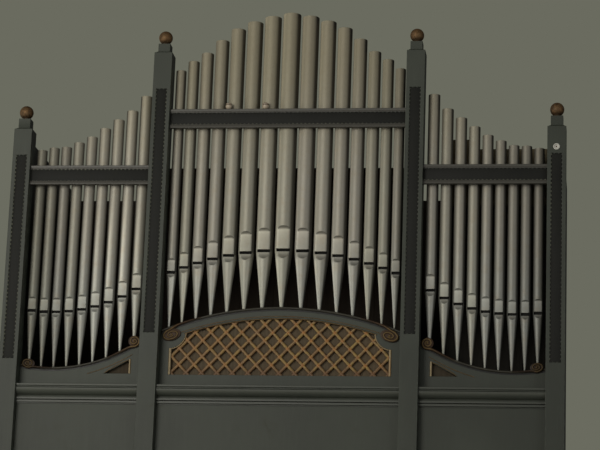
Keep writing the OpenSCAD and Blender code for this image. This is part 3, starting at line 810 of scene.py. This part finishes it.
class ORGAN_OT_mouldings(bpy.types.Operator):
    """Builds the waist mouldings and skirting boards of the three bays"""
    bl_idname = "organ.mouldings"
    bl_label = "Waist mouldings"

    def execute(self, context):
        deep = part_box("waist_centre")[1].y - FRONT
        bead, ovolo = np.radians(np.linspace(70, -70, 8)), np.radians(np.linspace(2, 72, 14))
        profile = np.array(
            [(deep, 0.104), (0.0155, 0.104), (0.0145, 0.1034), (0.014, 0.1024), (0.014, 0.0934), (0.0146, 0.0924),
             (0.0205, 0.0912), (0.0205, 0.0898)]
            + [(0.0160 - 0.0034 * math.cos(t), 0.0862 + 0.0034 * math.sin(t)) for t in bead]
            + [(0.0190, 0.0826)]
            + [(0.052 - 0.0390 * math.cos(t), 0.0820 - 0.0390 * math.sin(t)) for t in ovolo]
            + [(0.0418, 0.0420), (0.0436, 0.0385), (0.0442, 0.0345), (0.0442, 0.0318), (0.0308, 0.0312),
               (0.0300, 0.0304), (0.0300, 0.0228), (0.0307, 0.0220), (0.0442, 0.0214), (0.0442, 0.0178),
               (0.0347, 0.0172), (0.0340, 0.0165), (0.0340, 0.0068), (0.0347, 0.0061), (0.0442, 0.0055),
               (0.0442, 0.0003), (deep, 0.0003)])
        y, z = profile.T
        # The worn value: paler paint on the torus and the fillets, partly rubbed paint and partly a painted
        # highlight
        torus_highlight = np.exp(-((z - 0.071) / 0.009) ** 2) * (y < 0.03)
        fillet_highlight = (0.35 * (y < 0.0146) * (z > 0.09) + 0.3 * (np.abs(y - 0.030) < 0.001) * (z > 0.0225)
                      + 0.25 * (np.abs(y - 0.034) < 0.001) * (z > 0.0065))
        for name, x0, x1 in bays("waist"):
            shell = Shell("worn")
            shell.rings(along_x(profile, x0 + SEAT, x1 - SEAT), worn=torus_highlight + fillet_highlight)
            shell.build(name + "_moulded", "case_paint", "moulding_paint", [name], sharp=34)
        softened(names("skirting"), SOFT_POST)
        return {"FINISHED"}


class ORGAN_OT_rails(bpy.types.Operator):
    """Builds the three carved rails across the pipes, with their dark sunk faces and teeth"""
    bl_idname = "organ.rails"
    bl_label = "Carved rails"
    wear = ((0.0180, 0.1, 0.9), (0.0152, 0.5, 0.05), (0.0082, 0.5, 0.0))  # first tooth, paleness of the teeth below and above: rubbed paint and a painted highlight
    last_gap = 0.4  # room past the last tooth, in pitches

    def execute(self, context):
        s = sizes()
        y0, high, fillet, pitch = s.rail_setback, s.rail_height, s.rail_fillet, s.rail_tooth_pitch
        floor, past = 0.009, 0.0002
        half = np.array([(0.021, 0.0), (0.003, 0.0), (0.001, 0.0006), (0.0, 0.002), (0.0, 0.0142), (0.0008, 0.0156),
                         (0.0030, 0.0166), (0.0036, 0.0180), (0.0036, fillet - 0.0006), (0.0042, fillet),
                         (floor, fillet)])
        profile = np.vstack([half, half[::-1] * [1, -1] + [0.0, high]])
        fillet_highlight = profile[:, 0] < 0.002
        panels, teeth = Shell(), Shell("crown", "rub")
        for (name, x0, x1), (lead, foot_rub_and_highlight, head_rub_and_highlight) in zip(bays("rail"), self.wear):
            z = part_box(name)[0].z - WAIST
            shell = Shell("worn", "warm")
            # The worn value: the fillets a little paler, partly rubbed paint and partly a painted highlight
            shell.rings(along_x(profile + [y0, z], x0 + SEAT, x1 - SEAT), worn=0.1 * fillet_highlight, warm=1.0)
            shell.build(name + "_carved", "case_paint", "moulding_paint", [name], sharp=34)
            panel_slab(panels, (x0 + 0.001, z + fillet + SEAT), (x1 - 0.001, z + high - fillet - SEAT),
                       y0 + floor - 0.0016, thick=0.0013)
            count = 1 + int((x1 - x0 - lead - self.last_gap * pitch) / pitch)
            for level, way, rub in ((z + fillet - past, 1, foot_rub_and_highlight), (z + high - fillet + past, -1, head_rub_and_highlight)):
                teeth_row(teeth, (x0 + lead, y0 + floor - 0.0006, level), (pitch, 0, 0), count, (0, 0, way), rub)
        panels.build("rail_sunk_faces", "case_paint", "sunk_paint")
        teeth.build("rail_teeth", "case_paint", "tooth_paint", sharp=50)
        return {"FINISHED"}


class ORGAN_OT_boards(bpy.types.Operator):
    """Paints the case boards and finishes the dark boards inside and behind"""
    bl_idname = "organ.boards"
    bl_label = "Case boards"

    def execute(self, context):
        softened(names("breast", "lower_panel"), SOFT_BOARD)
        softened(["side_left", "side_right"], SOFT_SIDE, "side_paint")
        repaint(["back_lower", "back_upper", "deck"], "back_wood")
        repaint(names("recess_back"), "recess_wood")
        return {"FINISHED"}


class ORGAN_OT_shelves(bpy.types.Operator):
    """Builds the three curved pipe shelves with their moulded noses"""
    bl_idname = "organ.shelves"
    bl_label = "Pipe shelves"

    def nose(self):
        """Shelf section as (Y, height on the top, shade): a roll, a dark groove, a hollow band and a quirk. The
        shade is kept as the crown value, and painted shade darkens where it is low.
        """
        s, r, turn = sizes(), 0.0064, np.radians(np.linspace(78, -60, 11))
        section = ([(s.shelf_depth, 0.0, 0.7), (0.0076, 0.0, 0.9)]
                   + [(r - r * math.cos(a), -0.0065 + r * math.sin(a), 1.0) for a in turn]
                   + [(0.0040, -0.0122, 0.2), (0.0030, -0.0128, 0.4), (0.0020, -0.0136, 0.5), (0.0020, -0.0146, 0.4),
                      (0.0032, -0.0154, 0.02), (0.0046, -0.0160, 0.0), (0.0046, -s.shelf_thick, 0.0),
                      (s.shelf_depth, -s.shelf_thick, 0.0)])
        return np.array(section) + [s.board_setback - NOSE_PROUD, 0.0, 0.0]

    def execute(self, context):
        s = sizes()
        reach = math.asin((BAY_IN - SEAT) / s.arch_radius)
        path, out = arc_path(0, arch_low(), s.arch_radius, -reach, reach, 97)
        path[0, 0], path[-1, 0] = -BAY_IN + SEAT, BAY_IN - SEAT
        self.shelf("shelf_centre", path, out)
        cx, cz = sweep_centre()
        start = math.asin((cx - WING_IN - SEAT) / s.sweep_radius)
        end = -math.asin((WING_OUT - SEAT - cx) / s.sweep_radius)
        path, out = arc_path(cx, cz, -s.sweep_radius, start, end, 73)
        for side, node in ((-1, "shelf_left"), (1, "shelf_right")):
            self.shelf(node, path * [side, 1, 1], out * [side, 1, 1])
        return {"FINISHED"}

    def shelf(self, node, path, out):
        shell, section = Shell("crown"), self.nose()
        shell.rings(carried(section[:, :2], path, BACK, out), crown=section[:, 2])
        shell.build(node + "_moulded", "case_paint", "nose_paint", [node], sharp=34)


class ORGAN_OT_scrolls(bpy.types.Operator):
    """Carves the volutes at the ends of the three shelves, their beads running out of the shelf noses"""
    bl_idname = "organ.scrolls"
    bl_label = "Scrolls"

    def execute(self, context):
        y, drop, centre = sizes().board_setback - NOSE_PROUD - SEAT, 0.0052, Shell("crown")
        for side, node in ((-1, "scrolls_left"), (1, "scrolls_right")):
            x = np.linspace(BAY_IN - 0.215, BAY_IN - 0.075, 14)
            lead = np.stack([side * x, arch_height(x) - 0.0050 - 0.004 * ((x - x[0]) / 0.14) ** 2], axis=-1)
            volute(centre, (side * (BAY_IN - 0.061), 0.383), 0.054, 0.033, -side * math.radians(18), -side, lead, y)
            wing = Shell("crown")
            for x0, x1, at, z, half_long, half_high, tilt, way in (
                    (WING_IN + 0.185, WING_IN + 0.065, WING_IN + 0.040, 0.346, 0.0335, 0.0325, 0, -side),
                    (WING_OUT - 0.175, WING_OUT - 0.060, WING_OUT - 0.047, 0.222, 0.038, 0.026, 8, side)):
                x = np.linspace(x0, x1, 12)
                lead = np.stack([side * x, sweep_height(x) - drop], axis=-1)
                volute(wing, (side * at, z), half_long, half_high, side * math.radians(tilt), way, lead, y)
            wing.build(node + "_carved", "gilt_wood", "bronze_carving", [node], sharp=50)
        centre.build("scrolls_centre_carved", "gilt_wood", "bronze_carving", ["scrolls_centre"], sharp=50)
        return {"FINISHED"}


class ORGAN_OT_lattice(bpy.types.Operator):
    """Builds the gilded lattice, the gilded edges of the openings and the bronze lines on the boards"""
    bl_idname = "organ.lattice"
    bl_label = "Gilded lattice"
    low = 0.168
    border = 0.061
    side = 0.049
    ear_in, ear_z, ear_r = 0.046, 0.400, 0.090
    spandrel_in, spandrel_low, spandrel_long, spandrel_tall = 0.054, 0.171, 0.145, 0.079

    def inside(self, x, z, grow):
        """True where (x, z) lies in the centre opening, grown by grow."""
        keep = (np.abs(x) < BAY_IN - self.side + grow) & (z > self.low - grow)
        keep &= x ** 2 + (z - arch_low()) ** 2 < (sizes().arch_radius - self.border + grow) ** 2
        return keep & ((np.abs(x) - BAY_IN + self.ear_in) ** 2 + (z - self.ear_z) ** 2 > (self.ear_r - grow) ** 2)

    def execute(self, context):
        s = sizes()
        bars, w = Shell("crown"), s.lattice_bar / 2
        # Crown of the bar's section: high on its face, for a painted highlight, low on its flanks, where ground and
        # painted shade show
        half = np.array([(-w, 0.0115, 0.0), (-w, 0.004, 0.05), (-w * 0.86, 0.0016, 0.35), (-w * 0.5, 0.0003, 0.9)])
        section = np.vstack([half, [(0.0, 0.0, 1.0)], half[::-1] * [-1, 1, 1]])
        lean = math.atan2(s.lattice_rise, s.lattice_pitch)
        t = np.linspace(-1.0, 1.0, 4001)
        under, setback, lap = 0.003, 0.005, 0.0002
        for sign in (-1, 1):
            run = np.array([math.cos(lean), 0.0, sign * math.sin(lean)])
            for k in range(-12, 13):
                line = np.array([k * s.lattice_pitch, 0.0, s.lattice_row]) + t[:, None] * run
                line = line[self.inside(line[:, 0], line[:, 2], under)]
                if len(line) < 12:
                    continue
                y = s.board_setback + setback + lap * (sign > 0)
                rings = carried(section[:, :2], at_case(line[[0, -1]] + y * BACK), run[[2, 1, 0]] * [-1, 0, 1], BACK)
                bars.rings(rings, crown=section[:, 2])
        bars.build("lattice_bars", "gold_lattice", "lattice_gold", ["lattice"], sharp=40)
        self.edges()
        return {"FINISHED"}

    def edges(self):
        """Half round gilded edges on the upright sides and cut corners of the openings, and thin bronze
        lines on their curves and on the boards above them."""
        s = sizes()
        front = s.board_setback
        y, arch_r = front + 0.002, s.arch_radius - self.border
        ear_x, x_side, x_in = BAY_IN - self.ear_in, BAY_IN - self.side, WING_IN + self.spandrel_in
        side_turn = math.asin((ear_x - x_side) / self.ear_r)
        edges, lines = Shell("crown"), Shell("crown")
        for side in (-1, 1):
            z = np.linspace(self.low, self.ear_z - self.ear_r * math.cos(side_turn), 9)
            self.run(edges, side * (x_side - 0.007), z, 0.014, 0.006, y)
            a = np.linspace(math.pi + side_turn + 0.02, 1.5 * math.pi + 0.72, 24)
            x, z = ear_x + (self.ear_r + 0.003) * np.sin(a), self.ear_z + (self.ear_r + 0.003) * np.cos(a)
            keep = x ** 2 + (z - arch_low()) ** 2 < arch_r ** 2
            self.run(edges, side * x[keep], z[keep], 0.006, 0.004, y)
            z = self.spandrel_low + np.linspace(0.0, self.spandrel_tall - 0.001, 5)
            self.run(edges, side * (x_in + 0.006), z, 0.0115, 0.005, y)
        edges.build("gilded_edges", "gold_lattice", "trim_gold", ["spandrel_trim"], sharp=60)
        front_r = s.arch_radius - 0.052
        for r, reach, wide, proud, at in (
                (arch_r - 0.0035, (ear_x - self.ear_r + 0.01) / arch_r, 0.007, 0.004, y),
                (front_r, (BAY_IN - 0.112) / front_r, 0.005, 0.0022, front)):
            a = np.linspace(-math.asin(reach), math.asin(reach), 81)
            self.run(lines, r * np.sin(a), arch_low() + r * np.cos(a), wide, proud, at)
        for side in (-1, 1):
            q = np.linspace(0.02, 0.97, 12)
            z = self.spandrel_low + (self.spandrel_tall - 0.0015) * (1 - q) + 0.032 * q * (1 - q)
            self.run(lines, side * (x_in + self.spandrel_long * q), z, 0.006, 0.004, y)
            x, q = np.linspace(WING_IN + 0.048, WING_OUT - 0.372, 30), np.linspace(0, 1, 30)
            self.run(lines, side * x, 0.275 - 0.106 * q - 0.040 * q * (1 - q), 0.005, 0.0022, front)
        lines.build("board_bronze_lines", "gilt_wood", "bronze_line", sharp=60)

    def run(self, shell, x, z, wide, proud, y):
        """A half round section carried along a line in the plane of the boards."""
        line = np.stack(np.broadcast_arrays(x, z), axis=-1)
        t = np.linspace(0, math.pi, 7)
        section = np.stack([-wide / 2 * np.cos(t), -proud * np.sin(t)], axis=-1)
        rings = carried(section, at_case(points(line[:, 0], y, line[:, 1])), sideways(line), BACK)
        # Crown: high on top of the round, for a painted highlight, lower at its sides, where ground and painted
        # shade show
        shell.rings(rings, crown=0.15 + 0.85 * np.sin(t))


class ORGAN_OT_pipes(bpy.types.Operator):
    """Builds the thirty-three metal front pipes with flattened lips, mouths and conical feet"""
    bl_idname = "organ.pipes"
    bl_label = "Front pipes"
    centre_tops = (2.192, 2.175, 2.146, 2.107, 2.042, 1.970, 1.924, 1.872)
    wing_tops = (1.417, 1.430, 1.434, 1.460, 1.492, 1.540, 1.590, 1.641, 1.723)
    # Strength of a painted highlight, a window's reflection, on each left wing pipe's body
    left_gleams = (0.0, 0.0, 0.0, 0.1, 0.3, 0.6, 1.0, 0.9, 0.5)
    lip, arch, flat = 1.17, 0.20, 0.714  # heights of lip and arch in diameters, half the lip in radii
    centre_end, wing_end = 0.0105, 0.016  # clear of the posts

    def angles(self, mouth):
        """Angles round a pipe from its front, close together at the lip's edges and the mouth's ends."""
        flat, mouth = math.degrees(math.acos(0.7)), math.degrees(mouth)
        half = sorted([0, 9, 18, 27, 36, flat - 0.01, mouth - 0.15, mouth + 0.15, 53, 63, 71, 79, 89, 101, 115, 130,
                       146, 163])
        return np.radians(np.array([-h for h in half[:0:-1]] + half + [180]))

    def add(self, shell, x, foot_z, d, top, tone, fade, **look):
        """One pipe, as radius over height z with its front held back to the lip's plane:
        y = max(-r cos u, plane(z)); the mouth is pushed in behind the lips."""
        s = sizes()
        r, toe, foot = d / 2, d / 8 - 0.002, s.foot_base + d / 5
        mouth_end = math.asin(0.90 - 1.4 * d)
        slit, sill, lip, arch = 0.0046 + 0.022 * d, 0.0078 + 0.022 * d, self.lip * d, self.arch * d
        tin, deep = 0.0022, 0.62 * r
        top -= foot_z + foot
        u = self.angles(mouth_end)
        z = np.concatenate([
            [-foot - 0.0015, -foot - 0.0005], np.linspace(-foot + 0.0015, -0.54 * d, 8),
            np.linspace(-0.49 * d, -0.10 * d, 10), [-slit, -slit + 0.0004, sill - 0.0004, sill],
            np.linspace(0.3 * d, lip, 5), np.linspace(lip + 0.1 * arch, lip + arch, 8), [lip + 1.1 * arch],
            np.linspace(1.6 * d, top - 0.0006, 9)])[:, None]
        radius = np.where(z < 0, toe + (r - toe) * np.clip((z + foot) / foot, 0, 1), r)
        radius[:2, 0] *= 0.55, 0.85
        low_t, high_t = np.clip((-slit - z) / (2 * arch), 0, 1), np.clip((z - lip) / arch, 0, 1)
        reach = self.flat * r * np.sqrt(1 - np.maximum(low_t, high_t) ** 2)
        y = np.maximum(-radius * np.cos(u), -np.sqrt(np.maximum(radius ** 2 - reach ** 2, 0)))
        # The mouth gets the inner value: painted near black, as painted shade inside the pipe
        mouth = (np.abs(u) < mouth_end) & (z > -slit + 0.0002) & (z < sill - 0.0002)
        y = np.where(mouth, y + deep, y)
        bore = [(top, r - 0.0004), (top, r - 0.0016), (top - 0.0006, r - 0.002)]
        bore += [(h, r - tin) for h in np.linspace(top - 0.01, 1.75 * d, 4)]
        height, inner_r = np.array(bore).T[..., None]
        rings = np.concatenate([points(radius * np.sin(u), y, z),
                                points(inner_r * np.sin(u), -inner_r * np.cos(u), height)])
        cut = y > -radius * np.cos(u) + 1e-5
        shade = self.shading(u, z, d, slit, cut, low_t, high_t, fade - foot_z - foot, **look)
        # Painted shade, by the inner value, down the inside of the bore from its top
        dark = np.broadcast_to(np.array([0, 0, 0, 0.5, 0.95, 0.95, 0.95])[:, None], (len(bore), len(u)))
        shell.rings(at_case(rings + [x, s.pipe_setback, foot_z + foot]), "poles", tone=tone,
                    inner=np.vstack([mouth, dark]), shade=np.vstack([shade, np.ones(dark.shape)]))

    def shading(self, u, z, d, slit, cut, low_t, high_t, fade, left, right, whole, lip, angle, body, foot,
                foot_right):
        """Painted light at each point: a painted highlight on the upper lip (gain lip), painted shade on the
        lower lip and at the arch above the lip, and painted shade on the edges by the shares left and right
        and over the whole pipe by the share whole. A painted highlight, a window's reflection, runs as a pale
        streak at the angle with the strength body up to the height fade, and foot on the foot, which has one
        more at its right."""
        ledge = cut & (z > (self.lip + 0.005) * d)
        edge = np.clip((np.abs(u) - 0.4) / 0.4, 0, 1)
        high = np.clip(z / (self.lip * d), 0, 1)
        # Painted highlight on the upper lip, brighter toward its top and its left
        shade = np.where(cut & (z >= 0), (1.04 + 0.30 * high ** 3 - 0.16 * u) * lip, 1.0)
        # Painted shade at the arch above the lip
        shade = np.where(ledge, 1.15 - 0.95 * np.clip(high_t ** 2 + edge, 0, 1), shade)
        # Painted shade on the lower lip
        shade = np.where(cut & (z < -slit + 0.0001), 0.68 - 0.3 * low_t ** 4, shade)
        # Painted highlights: a window's reflection as streaks on the foot and on the body
        low = foot * np.exp(-((u - angle) / 0.42) ** 2) + foot_right * np.exp(-((u - 0.6) / 0.4) ** 2)
        high = body * np.exp(-((u - angle) / 0.19) ** 2) * np.clip((fade - z) / 0.2, 0, 1)
        shade = shade * (1 + low * np.clip((-z / d - 0.25) / 0.3, 0, 1) + np.where(cut, 0, high) * (z > 0))
        # Painted shade over the whole pipe, and a little more over its right half
        shade = shade * (1 - whole) * (1 - 0.07 * np.clip((u + 0.2) / 0.5, 0, 1))
        # Painted shade on the left and right flanks
        for side, share, on_foot in ((-1, left, 1.0), (1, right, max(0.3, 1 - foot_right))):
            flank = np.clip((side * u - 0.56) / 0.34, 0, 1) * np.clip((2.4 - side * u) / 0.5, 0, 1)
            shade = shade * (1 - share * flank * np.where(z < 0, on_foot, 1))
        return shade

    def execute(self, context):
        s = sizes()
        rng = np.random.default_rng(33)
        n, pipe, step = 7, s.centre_pipe, s.centre_step
        gap = (BAY_IN - self.centre_end - (pipe - n * step) / 2 - n * pipe + step * n * n / 2) / n
        centre = Shell("tone", "inner", "shade")
        for i in range(-n, n + 1):
            k, left = abs(i), min(i, 0)
            x = k * (pipe + gap) - step * k * k / 2
            # Each pipe's painted light: shade on its flanks and over the whole, lip gain, and highlight streaks on
            # body and foot
            self.add(centre, math.copysign(x, i), float(arch_height(x)), pipe - k * step, self.centre_tops[k],
                     rng.uniform(0.35, 1.0), left=-0.7 - 0.18 * left, right=0.86 + 0.02 * left,
                     whole=0.05 * max(0, i - 3), lip=0.98 + 0.02 * max(left, -4), angle=-0.9, body=0.1, fade=1.58,
                     foot=max(0.0, 0.8 + 0.2 * left), foot_right=-0.22 * left)
        centre.build("pipes_centre_lipped", "pipe_metal", "pipe_metal", ["pipes_centre"], sharp=28)
        n, pipe, step = 8, s.wing_pipe, s.wing_step
        room = WING_OUT - WING_IN - 2 * self.wing_end
        gap = (room - (2 * pipe + n * step) / 2 - n * pipe - step * n * n / 2) / n
        for side, node in ((-1, "pipes_left"), (1, "pipes_right")):
            wing = Shell("tone", "inner", "shade")
            for j in range(n + 1):
                x = WING_OUT - self.wing_end - pipe / 2 - j * (pipe + gap) - step * j * j / 2
                # Each wing pipe's painted light: shade on its flanks and over the whole, lip gain, and highlight
                # streaks on body and foot
                gleam = self.left_gleams[j]
                look = dict(left=0.50 + 0.04 * j, right=0.15, whole=max(-0.15, 0.38 - 0.095 * j), lip=0.84,
                            angle=-0.38, body=gleam, foot=0.3 * gleam, foot_right=0.05 * j)
                if side > 0:
                    # Painted shade over the right wing's pipes, more toward the end post, and less on the pipe by
                    # the middle post, against the shadow that post casts on it
                    whole = 0.06 + max(0.0, 0.34 - 0.085 * j) - 0.08 * (j == n)
                    look = dict(left=0.34, right=0.8, whole=whole, lip=1.1, angle=-0.62, body=0.0, foot=0.15,
                                foot_right=0.15)
                self.add(wing, side * x, float(sweep_height(x)), pipe + j * step, self.wing_tops[j],
                         rng.uniform(0.35, 1.0), fade=1.1, **look)
            wing.build(node + "_lipped", "pipe_metal", "pipe_metal", [node], sharp=28)
        return {"FINISHED"}


class ORGAN_OT_fittings(bpy.types.Operator):
    """Builds the two knobs, the eyelet and the finish of the wooden pipes"""
    bl_idname = "organ.fittings"
    bl_label = "Knobs, eyelet and wooden pipes"

    def execute(self, context):
        repaint(["wood_pipes"], "pine")
        self.knobs()
        self.eyelet()
        return {"FINISHED"}

    def knobs(self):
        """A flattened ball, a groove and a domed cap, turned."""
        low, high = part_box("rail_knobs")
        tall, radius = high.z - low.z, (high.y - low.y) / 2
        rise = np.array([0.0006, 0.002, 0.0045, 0.0075, 0.0105, 0.0135, 0.0165, 0.0188])
        bowl = np.stack([np.sqrt(radius ** 2 - (rise - 0.0155) ** 2) - 0.0002, rise], axis=-1)
        groove = [(0.0170, 0.0193), (0.0156, 0.0195), (0.0150, 0.0202), (0.0150, 0.0218), (0.0156, 0.0225),
                  (0.0166, 0.0227), (0.0169, 0.0235), (0.0169, 0.0284)]
        across = np.array([0.0158, 0.0135, 0.0105, 0.007, 0.0035, 0.001])
        dome = np.stack([across, tall - 0.0242 + np.sqrt(0.024 ** 2 - across ** 2)], axis=-1)
        rings = turned(np.vstack([[(0.0082, 0.0)], bowl, groove, dome]), 32)
        dark = np.concatenate([np.zeros(8), [0.2, 0.9, 1.0, 1.0, 0.9, 0.6], np.full(len(rings) - 14, 0.38)])[:, None]
        knobs = Shell("dark")
        for x in (low.x + radius, high.x - radius):
            knobs.rings(rings + [x, (low.y + high.y) / 2, low.z], "poles", dark=dark)
        knobs.build("rail_knobs_turned", "pale_knob", "knob_glaze", ["rail_knobs"], sharp=50)

    def eyelet(self):
        """A wire ring about Y, and a thin disc behind it whose dark middle is painted shade, as in a hole."""
        low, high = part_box("eyelet")
        wire = (high.y - low.y) / 2
        ring_r = (high.x - low.x) / 2 - wire
        a, b = round_about(40)[:, None], round_about(16)
        reach, middle, shell = ring_r + wire * np.cos(b), (low + high) / 2, Shell("dark")
        ring = points(reach * np.cos(a), wire * 0.98 * np.sin(b), reach * np.sin(a))
        shell.rings(ring + np.array(middle), "joined")
        disc = [(ring_r - wire * 0.4, -0.0004), (ring_r - wire * 0.4, -0.0012), (0.0052, -0.0018),
                (0.0046, -0.0014), (0.001, -0.0014)]
        # Painted shade in the middle of the disc, as in the eyelet's hole
        dark = np.array([0.1, 0.0, 0.0, 1.0, 1.0])[:, None]
        shell.rings(turned(disc, 40)[..., LAID_BACK] + [middle.x, high.y + SEAT, middle.z], "poles", dark=dark)
        shell.build("eyelet_ring", "white_eyelet", "eyelet_glaze", ["eyelet"], sharp=50)


class ORGAN_OT_stage(bpy.types.Operator):
    """Sets the pale floor, soft lamps, even surroundings and the camera"""
    bl_idname = "organ.stage"
    bl_label = "Stage and camera"
    yaw, pitch, roll = math.radians(-7.98), math.radians(14.62), math.radians(2.05)
    eye = (1.767, -11.923, -2.168)
    focal_px, photo_px = 2328, 600

    def link(self, name, data):
        made = bpy.data.objects.new(name, data)
        bpy.context.scene.collection.objects.link(made)
        return made

    def floor(self):
        """A round pale floor that ends well before the camera, as one thin disc."""
        shell = Shell()
        shell.rings(turned([(4.7, -0.02), (4.8, -0.01), (4.7, 0.0)], 128))
        f = Finish("pale_floor", (0.50, 0.49, 0.46), roughness=0.8, specular=0.2)
        f.tone = f.mix(f.base, (0.56, 0.55, 0.52), f.noise(3.0, 4.0).ramp(0.3, 0.7))
        mesh = shell.mesh("floor")
        mesh.materials.append(f.done())
        self.link("floor", mesh)

    def lamp(self, name, place, aim, size, power, tone, mirrored=True):
        light = bpy.data.lights.new(name, "AREA")
        light.shape, light.size, light.energy, light.color = "DISK", size, power, tone
        lamp = self.link(name, light)
        lamp.location = place
        lamp.visible_glossy = mirrored
        lamp.rotation_euler = (Vector(aim) - Vector(place)).to_track_quat("-Z", "Y").to_euler()

    def surroundings(self):
        """A backdrop colour for the camera, and for paint and metal an even light that comes from the
        front left and fades to the back right."""
        world = bpy.context.scene.world = bpy.data.worlds.new("surroundings")
        n = Nodes(world)
        lean = n.node("VectorMath", {0: n.node("TexCoord").outputs["Generated"], 1: (-0.60, -0.74, -0.30)},
                      operation="DOT_PRODUCT")
        rise = n.node("MapRange", {"Value": lean.outputs["Value"], "From Min": -0.5, "From Max": 0.95,
                                   "To Min": 0.12, "To Max": 1.0}, interpolation_type="SMOOTHSTEP").outputs[0]
        ray = n.node("LightPath").outputs
        plain = n.node("Background", {"Color": (0.26, 0.256, 0.247), "Strength": rise}).outputs[0]
        glossy = n.node("Background", {"Color": (0.42, 0.41, 0.38), "Strength": rise}).outputs[0]
        seen = n.node("Background", {"Color": tint("backdrop")}).outputs[0]
        lit = n.node("MixShader", {0: ray["Is Glossy Ray"], 1: plain, 2: glossy}).outputs[0]
        both = n.node("MixShader", {0: ray["Is Camera Ray"], 1: lit, 2: seen}).outputs[0]
        n.node("OutputWorld", {"Surface": both})

    def camera(self):
        """The fitted camera: its place, its turn from three angles, and its long lens."""
        cy, sy, cp, cr, sr = (math.cos(self.yaw), math.sin(self.yaw), math.cos(self.pitch), math.cos(self.roll),
                              math.sin(self.roll))
        ahead, right = Vector((sy * cp, cy * cp, math.sin(self.pitch))), Vector((cy, -sy, 0))
        up = right.cross(ahead)
        right, up = cr * right + sr * up, cr * up - sr * right
        data = bpy.data.cameras.new("camera")
        data.sensor_width, data.lens = 36.0, 36.0 * self.focal_px / self.photo_px
        data.clip_start, data.clip_end = 0.1, 100.0
        camera = self.link("camera", data)
        turn = Matrix((right, up, -ahead)).transposed().to_4x4()
        camera.matrix_world = Matrix.Translation(at_case(self.eye)) @ turn
        bpy.context.scene.camera = camera

    def execute(self, context):
        self.floor()
        self.surroundings()
        middle = (0.0, FRONT + 0.1, 2.3)  # of what the photo shows
        self.lamp("window light", (-2.9, FRONT - 6.4, 3.0), middle, 3.8, 192, (1.0, 0.97, 0.90))
        self.lamp("side light", (-5.4, FRONT - 2.0, 0.7), (-0.4, FRONT + 0.1, 2.1), 1.6, 24, (1.0, 0.98, 0.94))
        self.lamp("fill light", (6.5, FRONT - 5.2, 2.6), middle, 4.0, 58, (0.96, 0.97, 1.0))
        self.lamp("back light", (-3.0, 11.0, 5.6), (0.0, 0.9, 1.5), 4.5, 520, (1.0, 0.98, 0.95), False)
        self.camera()
        bpy.context.scene.view_settings.view_transform = "Standard"
        return {"FINISHED"}


class ORGAN_PT_panel(bpy.types.Panel):
    """Lists the sizes, the colours and the pieces"""
    bl_idname = "ORGAN_PT_panel"
    bl_label = "Pipe organ"
    bl_space_type = "VIEW_3D"
    bl_region_type = "UI"
    bl_category = "Organ"

    def draw(self, context):
        for group in (context.scene.organ_sizes, context.scene.organ_colours):
            column = self.layout.column(align=True)
            for name in group.__annotations__:
                column.prop(group, name)
        column = self.layout.column(align=True)
        for piece in PIECES:
            column.operator(piece.bl_idname)


PIECES = (ORGAN_OT_stage, ORGAN_OT_boards, ORGAN_OT_mouldings, ORGAN_OT_posts, ORGAN_OT_finials, ORGAN_OT_rails,
          ORGAN_OT_shelves, ORGAN_OT_scrolls, ORGAN_OT_lattice, ORGAN_OT_pipes, ORGAN_OT_fittings)
CLASSES = (OrganSizes, OrganColours, *PIECES, ORGAN_PT_panel)


def register():
    for cls in CLASSES:
        bpy.utils.register_class(cls)
    bpy.types.Scene.organ_sizes = bpy.props.PointerProperty(type=OrganSizes)
    bpy.types.Scene.organ_colours = bpy.props.PointerProperty(type=OrganColours)


def unregister():
    del bpy.types.Scene.organ_colours, bpy.types.Scene.organ_sizes
    for cls in reversed(CLASSES):
        bpy.utils.unregister_class(cls)


def main():
    register()
    for piece in PIECES:
        group, name = piece.bl_idname.split(".")
        getattr(getattr(bpy.ops, group), name)()


if __name__ == "__main__":
    main()
